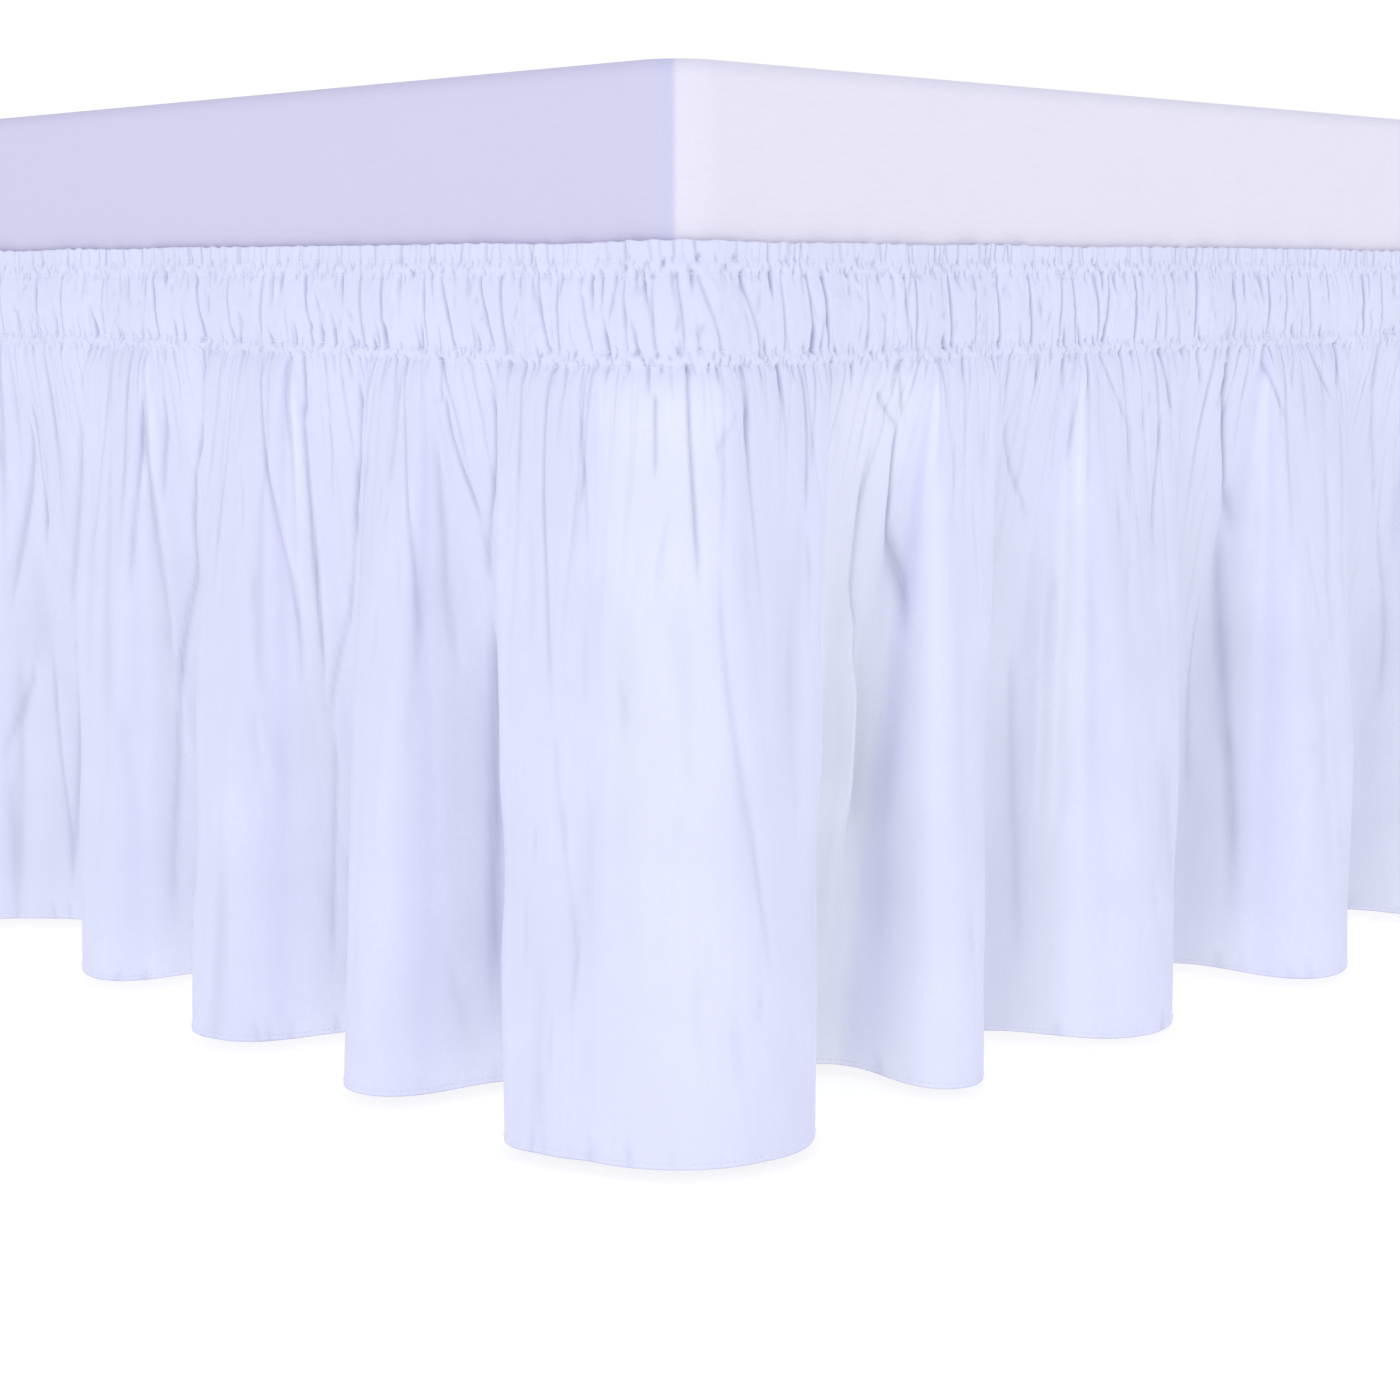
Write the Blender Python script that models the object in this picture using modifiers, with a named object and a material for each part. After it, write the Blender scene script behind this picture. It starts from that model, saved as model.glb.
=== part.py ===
"""Gathered wrap-around bed skirt on a plain twin box spring with six legs.

The box spring stands on the floor plane z = 0, centred on the origin, with its length along Y.
The skirt is one closed ring of cloth: a small ruffle, two shirred elastic channels with a
gathered heading between them, and a drop that falls in deep uneven folds to a hem just off
the floor. Run it in Blender 4.5; all sizes are metres.
"""

import math
import random
from collections import namedtuple

import bmesh
import bpy
import numpy as np
from mathutils import Vector

# Box spring and legs
BOX_WIDTH = 0.990           # across X, twin
BOX_LENGTH = 1.905          # along Y, twin
BOX_HEIGHT = 0.133          # low profile
BOX_TOP = 0.488
BOX_CORNER_RADIUS = 0.028   # upright corners
BOX_EDGE_RADIUS = 0.008     # top and bottom edges
BOX_BOTTOM = BOX_TOP - BOX_HEIGHT
LEG_GAP = 0.0003
LEG_HEIGHT = BOX_BOTTOM - LEG_GAP
LEG_TOP_RADIUS = 0.030
LEG_FOOT_RADIUS = 0.022
LEG_INSET = 0.120           # leg's axis from the box's faces
LEG_ROWS = (-1, 0, 1)       # head, middle and foot, as parts of the leg spacing along Y
LEG_SIDES = 24

# Cloth
CLOTH = 0.002               # thickness
CLEAR = 0.0003              # between the elastic channels and the box
CORNER_CLEAR = 0.0015       # more where the channels turn an upright corner
HEM_Z = 0.006
DROP = 0.406                # top of the ruffle to the hem, 16 in
RUFFLE_TOP = HEM_Z + DROP
UPPER_CHANNEL_Z = 0.4030
HEADING_Z = 0.3840
LOWER_CHANNEL_Z = 0.3645
CHANNEL_OUT = CLEAR + CLOTH / 2   # how far each band of the cloth stands off the box
RUFFLE_OUT = 0.0040
HEADING_OUT = 0.0060
FLUTE = 0.0024              # gathers of the heading, as flutes on every second column
DROP_ROWS = (0.020, 0.055, 0.115, 0.205)   # below the lower channel
GROWTH = 0.8                # the folds deepen with this power of the way down
PUFF = 0.0045               # the cloth bells out just below the lower channel
PUFF_DEPTH = 0.020

# Folds of the drop, from a corner outwards along a face. Every row is a valley and the crest
# beyond it: where they meet the hem, how far they reach outside the face (negative is under
# the box), and how much farther from the corner the fold starts at the lower channel.
Fold = namedtuple("Fold", "valley valley_out crest crest_out lean")
FOOT_FOLDS = (
    Fold(0.112, -0.032, 0.180, 0.048, 0.020),
    Fold(0.222, -0.030, 0.305, 0.052, 0.030),
    Fold(0.375, -0.032, 0.440, 0.038, 0.010),
    Fold(0.525, -0.030, 0.640, 0.040, 0.000),
)
SIDE_FOLDS = (
    Fold(0.132, -0.052, 0.176, 0.028, 0.000),
    Fold(0.218, -0.036, 0.312, 0.042, 0.000),
    Fold(0.402, -0.036, 0.470, 0.052, 0.000),
    Fold(0.575, -0.034, 0.650, 0.040, 0.000),
)
# A broad fold wraps each corner: a crest on both faces and a shallow dip between them.
Corner = namedtuple("Corner", "before before_out dip_out after after_out")
FRONT_CORNER = Corner(0.066, 0.042, 0.022, 0.044, 0.030)
PLAIN_CORNER = Corner(0.060, 0.038, 0.024, 0.060, 0.038)
MEAN_PITCH = 0.146          # of the folds on the faces out of sight
PITCH_SPREAD = 0.16
CREST_RANGE = (0.034, 0.049)
VALLEY_RANGE = (-0.040, -0.028)
DEEPEST_CREST = 0.052       # the one fold that sets a face's reach
COLUMNS = 4                 # mesh columns from a valley to a crest
MAX_BEND = 1.7              # steepest flank, radians
SEED = 11

WHITE_CLOTH = (0.80, 0.83, 0.94)
PALE_TICKING = (0.74, 0.73, 0.88)
PALE_WOOD = (0.55, 0.42, 0.29)


def clear_scene():
    for obj in list(bpy.data.objects):
        bpy.data.objects.remove(obj, do_unlink=True)


def make_material(name, colour, roughness):
    material = bpy.data.materials.new(name)
    material.use_nodes = True
    shader = material.node_tree.nodes["Principled BSDF"]
    shader.inputs["Base Color"].default_value = (*colour, 1.0)
    shader.inputs["Roughness"].default_value = roughness
    shader.inputs["Metallic"].default_value = 0.0
    return material


def add_object(name, mesh, material, collection, parent=None):
    obj = bpy.data.objects.new(name, mesh)
    obj.data.materials.append(material)
    obj.parent = parent
    collection.objects.link(obj)
    return obj


# ---------------------------------------------------------------- box spring and legs

def box_mesh():
    """An upholstered box: round upright corners and softly rounded top and bottom edges."""
    bm = bmesh.new()
    bmesh.ops.create_cube(bm, size=1.0)
    bmesh.ops.scale(bm, vec=(BOX_WIDTH, BOX_LENGTH, BOX_HEIGHT), verts=bm.verts)
    upright = [e for e in bm.edges if abs(e.verts[0].co.z - e.verts[1].co.z) > BOX_HEIGHT / 2]
    bmesh.ops.bevel(bm, geom=upright, offset=BOX_CORNER_RADIUS, segments=8, profile=0.5,
                    affect="EDGES")
    level = BOX_HEIGHT / 2 - 1e-6
    rims = [e for e in bm.edges
            if all(abs(v.co.z) > level for v in e.verts)
            and e.verts[0].co.z * e.verts[1].co.z > 0]
    bmesh.ops.bevel(bm, geom=rims, offset=BOX_EDGE_RADIUS, segments=3, profile=0.5,
                    affect="EDGES")
    mesh = bpy.data.meshes.new("box_spring")
    bm.to_mesh(mesh)
    bm.free()
    mesh.shade_smooth()
    return mesh


def leg_mesh():
    """A turned peg leg that tapers to its foot."""
    bm = bmesh.new()
    bmesh.ops.create_cone(bm, cap_ends=True, segments=LEG_SIDES, radius1=LEG_FOOT_RADIUS,
                          radius2=LEG_TOP_RADIUS, depth=LEG_HEIGHT)
    mesh = bpy.data.meshes.new("leg")
    bm.to_mesh(mesh)
    bm.free()
    mesh.shade_smooth()
    mesh.set_sharp_from_angle(angle=math.radians(40))
    return mesh


def add_legs(material, collection, parent):
    mesh = leg_mesh()
    mesh.materials.append(material)
    for row in LEG_ROWS:
        for side, label in ((-1, "left"), (1, "right")):
            leg = bpy.data.objects.new(f"leg_{label}_{row + 2}", mesh)
            leg.parent = parent
            leg.location = (side * (BOX_WIDTH / 2 - LEG_INSET),
                            row * (BOX_LENGTH / 2 - LEG_INSET), LEG_HEIGHT / 2)
            collection.objects.link(leg)


# ---------------------------------------------------------------- plan of the skirt

QUARTER_ARC = BOX_CORNER_RADIUS * math.pi / 2
FACES = (BOX_LENGTH, BOX_WIDTH, BOX_LENGTH, BOX_WIDTH)   # side, head, other side, foot
FACE_RUN = [face - 2 * BOX_CORNER_RADIUS for face in FACES]
PERIMETER = sum(FACE_RUN) + 4 * QUARTER_ARC


def face_to_path(face, distance):
    """Path length at a distance from the corner where a face starts (counter-clockwise)."""
    start = QUARTER_ARC / 2 + sum(FACE_RUN[:face]) + face * QUARTER_ARC
    return start + distance - BOX_CORNER_RADIUS


def plan_point(path, reach):
    """Plan position: a path length round the box from its front corner, reach outside it."""
    path = path % PERIMETER
    corner = Vector((BOX_WIDTH / 2 - BOX_CORNER_RADIUS, -BOX_LENGTH / 2 + BOX_CORNER_RADIUS))
    heading = math.radians(-45)
    first_half = QUARTER_ARC / 2
    travel = path
    for index, run in enumerate(FACE_RUN):
        arc = first_half if index == 0 else QUARTER_ARC
        if travel <= arc:
            heading += travel / BOX_CORNER_RADIUS
            return corner + Vector((math.cos(heading), math.sin(heading))) \
                * (BOX_CORNER_RADIUS + reach)
        travel -= arc
        heading = math.radians(90 * index)
        outward = Vector((math.cos(heading), math.sin(heading)))
        along = Vector((-outward.y, outward.x))
        if travel <= run:
            return corner + along * travel + outward * (BOX_CORNER_RADIUS + reach)
        travel -= run
        corner = corner + along * run
    heading += travel / BOX_CORNER_RADIUS
    return corner + Vector((math.cos(heading), math.sin(heading))) * (BOX_CORNER_RADIUS + reach)


# One turning point of the folds: path length at the hem and at the lower channel, and reach
Turn = namedtuple("Turn", "hem_path head_path out")


def hidden_turns(start, end, deepest, rng):
    """Seeded turns between two crests: valley, crest, and so on to the last valley."""
    count = max(1, round((end - start) / MEAN_PITCH))
    pitches = [1 + rng.uniform(-PITCH_SPREAD, PITCH_SPREAD) for _ in range(count)]
    scale = (end - start) / sum(pitches)
    turns = []
    crest = start
    for index, pitch in enumerate(pitches):
        if index > 0:
            reach = deepest if index == count // 2 else rng.uniform(*CREST_RANGE)
            turns.append(Turn(crest, crest, reach))
        valley = crest + pitch * scale * rng.uniform(0.45, 0.55)
        turns.append(Turn(valley, valley, rng.uniform(*VALLEY_RANGE)))
        crest += pitch * scale
    return turns


def face_turns(face, near, far, after, before, rng):
    """Turns of one face: folds placed from its start, seeded ones, folds placed from its end."""
    length = FACES[face]
    head = [Turn(after.after, after.after, after.after_out)]
    for fold in near:
        head.append(Turn(fold.valley, fold.valley + fold.lean, fold.valley_out))
        head.append(Turn(fold.crest, fold.crest + fold.lean, fold.crest_out))
    tail = [Turn(length - before.before, length - before.before, before.before_out)]
    for fold in far:
        tail.append(Turn(length - fold.valley, length - fold.valley - fold.lean,
                         fold.valley_out))
        tail.append(Turn(length - fold.crest, length - fold.crest - fold.lean, fold.crest_out))
    tail.reverse()
    deepest = CREST_RANGE[1] if near or far else DEEPEST_CREST
    middle = hidden_turns(head[-1].hem_path, tail[0].hem_path, deepest, rng)
    return [Turn(face_to_path(face, turn.hem_path), face_to_path(face, turn.head_path), turn.out)
            for turn in head + middle + tail]


def all_turns():
    """Turning points of the folds round the whole bed, in order, from the front corner."""
    rng = random.Random(SEED)
    near = (SIDE_FOLDS, (), (), ())
    far = (), (), (), FOOT_FOLDS
    corners = (FRONT_CORNER, PLAIN_CORNER, PLAIN_CORNER, PLAIN_CORNER, FRONT_CORNER)
    turns = []
    for face in range(4):
        middle = face_to_path(face, BOX_CORNER_RADIUS) - QUARTER_ARC / 2
        turns.append(Turn(middle, middle, corners[face].dip_out))
        turns += face_turns(face, near[face], far[face], corners[face], corners[face + 1], rng)
    return turns


def bent_curve(bend):
    """Run and rise along a curve whose slope swells and fades as a sine, from level to level."""
    angle = bend * np.sin(np.pi * np.linspace(0.0, 1.0, 49))
    run = np.concatenate(([0.0], np.cumsum(np.cos((angle[1:] + angle[:-1]) / 2))))
    rise = np.concatenate(([0.0], np.cumsum(np.sin((angle[1:] + angle[:-1]) / 2))))
    return run, rise


def flank_shape(run_length, rise_length):
    """The bent curve whose rise to run is the flank's, as shares of each at every column."""
    low, high = 0.01, MAX_BEND
    target = abs(rise_length) / run_length
    for _ in range(30):
        middle = (low + high) / 2
        run, rise = bent_curve(middle)
        if rise[-1] / run[-1] < target:
            low = middle
        else:
            high = middle
    picks = np.linspace(0, len(run) - 1, COLUMNS + 1).astype(int)[:-1]
    return run[picks] / run[-1], rise[picks] / rise[-1]


# ---------------------------------------------------------------- skirt

# One mesh column: path length at the lower channel and at the hem, reach at the hem, flute
Column = namedtuple("Column", "head_path hem_path hem_out flute")


def skirt_columns():
    rng = random.Random(SEED)
    turns = all_turns()
    first = turns[0]
    turns.append(Turn(first.hem_path + PERIMETER, first.head_path + PERIMETER, first.out))
    columns = []
    for here, there in zip(turns, turns[1:]):
        runs, rises = flank_shape(there.hem_path - here.hem_path, there.out - here.out)
        for index in range(COLUMNS):
            share = index / COLUMNS
            flute = (1 if index % 2 else -1) * FLUTE * rng.uniform(0.6, 1.1)
            columns.append(Column(
                here.head_path + (there.head_path - here.head_path) * share,
                here.hem_path + (there.hem_path - here.hem_path) * runs[index],
                here.out + (there.out - here.out) * rises[index], flute))
    return columns


def corner_clearance(path):
    """Extra gap where the cloth turns an upright corner, none on the flat faces."""
    period_start = 0.0
    nearest = PERIMETER
    for run in [0.0] + FACE_RUN:
        period_start += run + (QUARTER_ARC if run else 0.0)
        away = abs((path - period_start + PERIMETER / 2) % PERIMETER - PERIMETER / 2)
        nearest = min(nearest, away)
    fade = max(0.0, 1.0 - max(0.0, nearest - QUARTER_ARC / 2) / QUARTER_ARC)
    return CORNER_CLEAR * fade


def band_row(columns, height, out, flute_share):
    """A ring of the heading, at an even height, with its flutes."""
    return [(*plan_point(c.head_path, out + corner_clearance(c.head_path)
                         + flute_share * c.flute), height) for c in columns]


def drop_row(columns, depth, flute_share):
    """A ring of the drop: the folds deepen and the cloth bells out on the way down."""
    full = LOWER_CHANNEL_Z - HEM_Z
    share = (depth / full) ** GROWTH
    puff = PUFF * depth / PUFF_DEPTH * math.exp(1 - depth / PUFF_DEPTH) * (1 - share)
    ring = []
    for column in columns:
        path = column.head_path + (column.hem_path - column.head_path) * share
        out = column.hem_out * share + CHANNEL_OUT * (1 - share) + puff \
            + corner_clearance(column.head_path) * (1 - share) + flute_share * column.flute
        ring.append((*plan_point(path, out), LOWER_CHANNEL_Z - depth))
    return ring


def skirt_rows(columns):
    rows = [
        band_row(columns, RUFFLE_TOP, RUFFLE_OUT, 0.6),
        band_row(columns, UPPER_CHANNEL_Z, CHANNEL_OUT, 0.0),
        band_row(columns, HEADING_Z, HEADING_OUT, 1.0),
        band_row(columns, LOWER_CHANNEL_Z, CHANNEL_OUT, 0.0),
    ]
    for depth, flute_share in zip(DROP_ROWS, (0.9, 0.5, 0.0, 0.0)):
        rows.append(drop_row(columns, depth, flute_share))
    rows.append(drop_row(columns, LOWER_CHANNEL_Z - HEM_Z, 0.0))
    return rows


def add_skirt(material, collection, parent):
    """A loft through the rings of the cloth, from ruffle to hem, with Solidify for thickness."""
    columns = skirt_columns()
    bm = bmesh.new()
    rings = [[bm.verts.new(point) for point in row] for row in skirt_rows(columns)]
    for upper, lower in zip(rings, rings[1:]):
        for index in range(len(upper)):
            after = (index + 1) % len(upper)
            bm.faces.new((upper[index], lower[index], lower[after], upper[after]))
    mesh = bpy.data.meshes.new("skirt")
    bm.to_mesh(mesh)
    bm.free()
    mesh.shade_smooth()
    skirt = add_object("skirt", mesh, material, collection, parent)
    solidify = skirt.modifiers.new("cloth thickness", "SOLIDIFY")
    solidify.thickness = CLOTH
    solidify.offset = 0.0
    return skirt


def main():
    clear_scene()
    collection = bpy.data.collections.new("skirted_box_spring_bed")
    bpy.context.scene.collection.children.link(collection)
    root = bpy.data.objects.new("bed", None)
    collection.objects.link(root)

    ticking = make_material("ticking", PALE_TICKING, 0.85)
    cloth = make_material("cloth", WHITE_CLOTH, 0.75)
    wood = make_material("leg_wood", PALE_WOOD, 0.5)

    box = add_object("box_spring", box_mesh(), ticking, collection, root)
    box.location = (0.0, 0.0, BOX_BOTTOM + BOX_HEIGHT / 2)
    add_legs(wood, collection, root)
    add_skirt(cloth, collection, root)
    bpy.context.view_layer.update()


main()
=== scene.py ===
"""Gathered wrap-around bed skirt on a plain twin box spring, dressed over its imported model."""

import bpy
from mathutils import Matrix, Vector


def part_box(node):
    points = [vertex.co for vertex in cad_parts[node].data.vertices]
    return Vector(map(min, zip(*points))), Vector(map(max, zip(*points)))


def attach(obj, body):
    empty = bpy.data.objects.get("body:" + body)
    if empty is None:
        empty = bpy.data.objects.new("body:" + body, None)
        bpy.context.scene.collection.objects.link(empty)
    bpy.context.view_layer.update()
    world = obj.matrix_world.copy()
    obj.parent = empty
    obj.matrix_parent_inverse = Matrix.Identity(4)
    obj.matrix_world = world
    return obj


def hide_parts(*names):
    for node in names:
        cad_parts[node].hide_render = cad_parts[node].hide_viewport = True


bl_info = {
    "name": "Gathered Bed Skirt",
    "version": (1, 0, 0),
    "blender": (4, 5, 0),
    "location": "3D View > Sidebar > Bed Skirt",
    "description": "Builds a gathered bed skirt with elastic heading round a box spring",
    "category": "Object",
}

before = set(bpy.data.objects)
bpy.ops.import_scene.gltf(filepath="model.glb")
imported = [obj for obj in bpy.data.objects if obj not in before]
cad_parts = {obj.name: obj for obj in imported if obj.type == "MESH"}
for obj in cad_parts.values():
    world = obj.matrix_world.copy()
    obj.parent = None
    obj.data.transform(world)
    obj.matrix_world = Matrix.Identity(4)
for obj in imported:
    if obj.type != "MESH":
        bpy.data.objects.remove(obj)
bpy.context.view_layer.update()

import math
import random
from collections import namedtuple

import bmesh
import bpy
import numpy as np
from bpy.props import FloatProperty, FloatVectorProperty, PointerProperty
from mathutils import Vector

# ---------------------------------------------------------------- measures from the frame

BOX_LOW, BOX_HIGH = (Vector(corner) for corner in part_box("box_spring"))
SKIRT_LOW, SKIRT_HIGH = (Vector(corner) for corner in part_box("skirt"))
BOX_WIDTH = BOX_HIGH.x - BOX_LOW.x
BOX_LENGTH = BOX_HIGH.y - BOX_LOW.y
CORNER_RADIUS = 0.028           # upright corners of the box
EDGE_RADIUS = 0.008             # its top and bottom edges
HEM_Z = round(SKIRT_LOW.z, 3)

# ---------------------------------------------------------------- folds, as in the solid

Fold = namedtuple("Fold", "valley valley_head valley_out crest crest_head crest_out")
FOOT_FOLDS = (
    Fold(0.112, 0.142, -0.032, 0.180, 0.187, 0.048),
    Fold(0.222, 0.236, -0.030, 0.305, 0.324, 0.052),
    Fold(0.375, 0.380, -0.032, 0.440, 0.442, 0.038),
    Fold(0.525, 0.505, -0.030, 0.640, 0.640, 0.040),
)
SIDE_FOLDS = (
    Fold(0.132, 0.148, -0.052, 0.176, 0.184, 0.028),
    Fold(0.218, 0.242, -0.036, 0.312, 0.316, 0.042),
    Fold(0.402, 0.422, -0.036, 0.470, 0.476, 0.052),
    Fold(0.575, 0.590, -0.034, 0.650, 0.655, 0.040),
)
Corner = namedtuple("Corner", "before before_head before_out dip_out after after_head after_out")
FRONT_CORNER = Corner(0.066, 0.086, 0.042, 0.022, 0.044, 0.044, 0.030)
PLAIN_CORNER = Corner(0.060, 0.060, 0.038, 0.024, 0.060, 0.060, 0.038)
MEAN_PITCH = 0.146
PITCH_SPREAD = 0.16
CREST_RANGE = (0.034, 0.049)
VALLEY_RANGE = (-0.040, -0.028)
VALLEY_PLACE = (0.45, 0.55)     # where in a hidden fold's pitch its valley lies
DEEPEST_CREST = 0.052
MAX_BEND = 1.7
FOLD_SEED = 11

QUARTER_ARC = CORNER_RADIUS * math.pi / 2
FACES = (BOX_LENGTH, BOX_WIDTH, BOX_LENGTH, BOX_WIDTH)   # side, head, other side, foot
FACE_RUN = [face - 2 * CORNER_RADIUS for face in FACES]
PERIMETER = sum(FACE_RUN) + 4 * QUARTER_ARC
FACE_START = [QUARTER_ARC / 2 + sum(FACE_RUN[:k]) + k * QUARTER_ARC for k in range(4)]

Turn = namedtuple("Turn", "hem_path head_path out")


def face_to_path(face, distance):
    """Path length round the box at a distance from the corner where a face starts."""
    return FACE_START[face] + distance - CORNER_RADIUS


def hidden_turns(start, end, deepest, rng):
    """Turning points of seeded folds between two crests."""
    count = max(1, round((end - start) / MEAN_PITCH))
    pitches = [1 + rng.uniform(-PITCH_SPREAD, PITCH_SPREAD) for _ in range(count)]
    scale = (end - start) / sum(pitches)
    turns = []
    crest = start
    for index, pitch in enumerate(pitches):
        if index > 0:
            reach = deepest if index == count // 2 else rng.uniform(*CREST_RANGE)
            turns.append(Turn(crest, crest, reach))
        valley = crest + pitch * scale * rng.uniform(*VALLEY_PLACE)
        turns.append(Turn(valley, valley, rng.uniform(*VALLEY_RANGE)))
        crest += pitch * scale
    return turns


def face_turns(face, near, far, after, before, rng):
    """Turning points along one face, between the crests that stand by its two corners."""
    length = FACES[face]
    head = [Turn(after.after, after.after_head, after.after_out)]
    for fold in near:
        head.append(Turn(fold.valley, fold.valley_head, fold.valley_out))
        head.append(Turn(fold.crest, fold.crest_head, fold.crest_out))
    tail = [Turn(length - before.before, length - before.before_head, before.before_out)]
    for fold in far:
        tail.append(Turn(length - fold.valley, length - fold.valley_head, fold.valley_out))
        tail.append(Turn(length - fold.crest, length - fold.crest_head, fold.crest_out))
    tail.reverse()
    deepest = CREST_RANGE[1] if near or far else DEEPEST_CREST
    middle = hidden_turns(head[-1].hem_path, tail[0].hem_path, deepest, rng)
    return [Turn(face_to_path(face, turn.hem_path), face_to_path(face, turn.head_path), turn.out)
            for turn in head + middle + tail]


def all_turns():
    """Turning points of the whole ring."""
    rng = random.Random(FOLD_SEED)
    near = (SIDE_FOLDS, (), (), ())
    far = (), (), (), FOOT_FOLDS
    corners = (FRONT_CORNER, PLAIN_CORNER, PLAIN_CORNER, PLAIN_CORNER, FRONT_CORNER)
    turns = []
    for face in range(4):
        middle = FACE_START[face] - QUARTER_ARC / 2
        turns.append(Turn(middle, middle, corners[face].dip_out))
        turns += face_turns(face, near[face], far[face], corners[face], corners[face + 1], rng)
    return turns


# ---------------------------------------------------------------- plan of the cloth

ARC_STARTS = np.array([sum(FACE_RUN[:k]) + k * QUARTER_ARC for k in range(4)])
CENTRES = np.array([(x * (BOX_WIDTH / 2 - CORNER_RADIUS), y * (BOX_LENGTH / 2 - CORNER_RADIUS))
                    for x, y in ((1, -1), (1, 1), (-1, 1), (-1, -1))])


def plan(path, out):
    """Plan positions at path lengths round the box's faces, out metres outside them."""
    around = (path + QUARTER_ARC / 2) % PERIMETER
    face = np.searchsorted(ARC_STARTS, around, side="right") - 1
    travel = around - ARC_STARTS[face]
    turning = np.minimum(travel, QUARTER_ARC)
    heading = (face - 1) * math.pi / 2 + turning / CORNER_RADIUS
    outward = np.stack((np.cos(heading), np.sin(heading)), axis=-1)
    along = np.stack((-outward[..., 1], outward[..., 0]), axis=-1)
    return (CENTRES[face] + along * (travel - turning)[..., None]
            + outward * (CORNER_RADIUS + out)[..., None])


CUTS = (-2.16, -0.74, -0.230, 0.236, 0.74, 2.16)     # near here valleys part the cloth's pieces
PIECES = ("skirt_left_side", "skirt_foot", "skirt_corner", "skirt_right_front",
          "skirt_right_side", "skirt_head")
BEND_STEPS = 64
LEAST_BEND = 0.01
HALVINGS = 30                   # of the range in which a flank's bend is looked for


def move_round(turn, low, high):
    """The same turn, with its place at the lower channel from low up to high."""
    laps = math.floor((turn.head_path - low) / (high - low) + 1e-9) * (high - low)
    return Turn(turn.hem_path - laps, turn.head_path - laps, turn.out)


def nearest_valley(turns, place):
    """Where at the lower channel the valley next to a place starts."""
    half = PERIMETER / 2
    valleys = [move_round(t, place - half, place + half).head_path for t in turns if t.out < 0]
    return min(valleys, key=lambda at: abs(at - place))


def bent_curve(bend):
    """Run and rise, each from 0 to 1, along a flank whose slope swells and fades as a sine."""
    angle = bend * np.sin(np.pi * np.linspace(0.0, 1.0, BEND_STEPS + 1))
    middle = (angle[1:] + angle[:-1]) / 2
    run = np.concatenate(([0.0], np.cumsum(np.cos(middle))))
    rise = np.concatenate(([0.0], np.cumsum(np.sin(middle))))
    return run / BEND_STEPS, rise / BEND_STEPS


def flank_bend(run_length, rise_length):
    """The bend whose rise to run is the flank's."""
    low, high = LEAST_BEND, MAX_BEND
    target = abs(rise_length) / run_length
    for _ in range(HALVINGS):
        middle = (low + high) / 2
        run, rise = bent_curve(middle)
        if rise[-1] / run[-1] < target:
            low = middle
        else:
            high = middle
    return middle


class Flanks:
    """The stretches of cloth between one turning point of the folds and the next."""

    def __init__(self):
        turns = all_turns()
        cut = nearest_valley(turns, CUTS[0])
        turns = sorted((move_round(t, cut, cut + PERIMETER) for t in turns),
                       key=lambda t: t.head_path)
        first = turns[0]
        turns.append(Turn(first.hem_path + PERIMETER, first.head_path + PERIMETER, first.out))
        self.head = np.array([t.head_path for t in turns])
        self.hem = np.array([t.hem_path for t in turns])
        self.out = np.array([t.out for t in turns])
        self.runs, self.rises = [], []
        self.length = []
        for here, there in zip(turns, turns[1:]):
            run_length = there.hem_path - here.hem_path
            run, rise = bent_curve(flank_bend(run_length, there.out - here.out))
            self.runs.append(run / run[-1])
            self.rises.append(rise / rise[-1])
            self.length.append(run_length / run[-1])
        self.runs, self.rises = np.array(self.runs), np.array(self.rises)

    def table(self, values, flank, share):
        """values of each flank's table at a share of its length, from 0 to 1."""
        step = np.clip(share, 0.0, 1.0) * BEND_STEPS
        low = np.minimum(step.astype(int), BEND_STEPS - 1)
        part = step - low
        return values[flank, low] * (1 - part) + values[flank, low + 1] * part

    def row(self, flank, share, depth):
        """Path length and reach of each column at a depth, 0 at the channel and 1 at the hem.

        The steep middle of a flank narrows towards the channel, so that a fold starts there
        as a crease; what lies beside it is level, and is where the small gathers go."""
        steep = max(depth, 1e-4) ** STEEP_POWER
        inside = np.clip((share - 0.5) / steep + 0.5, 0.0, 1.0)
        run = share + steep * (self.table(self.runs, flank, inside) - inside)
        start = self.head[flank] + (self.hem[flank] - self.head[flank]) * depth
        end = self.head[flank + 1] + (self.hem[flank + 1] - self.head[flank + 1]) * depth
        rise = self.table(self.rises, flank, inside)
        out = depth * (self.out[flank] + (self.out[flank + 1] - self.out[flank]) * rise)
        return start + (end - start) * run, out


# ---------------------------------------------------------------- heights of the cloth

RUFFLE_TOP = round(SKIRT_HIGH.z, 3)
UPPER_SEAM, UPPER_SEAM_2 = 0.4042, 0.3980      # stitch lines of the upper elastic channel
LOWER_SEAM, LOWER_SEAM_2 = 0.3652, 0.3585      # and of the lower one
SEAMS = (UPPER_SEAM, UPPER_SEAM_2, LOWER_SEAM, LOWER_SEAM_2)
DROP = LOWER_SEAM_2 - HEM_Z
HEM_STITCH = 0.0024             # above the edge of the hem
LAYER = 0.0007                  # from a turned layer of cloth to the one outside it

GROWTH = 0.8                    # the folds deepen with this power of the way down
STEEP_POWER = 0.85              # their flanks widen with this power of the folds' depth
PUFF = 0.0012                   # the cloth bells out below the lower channel
PUFF_DEPTH = 0.013


def steps(*stretches):
    """Heights from stretches of (start, end, count), each without its end."""
    return np.concatenate([np.linspace(a, b, n, endpoint=False) for a, b, n in stretches])


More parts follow.
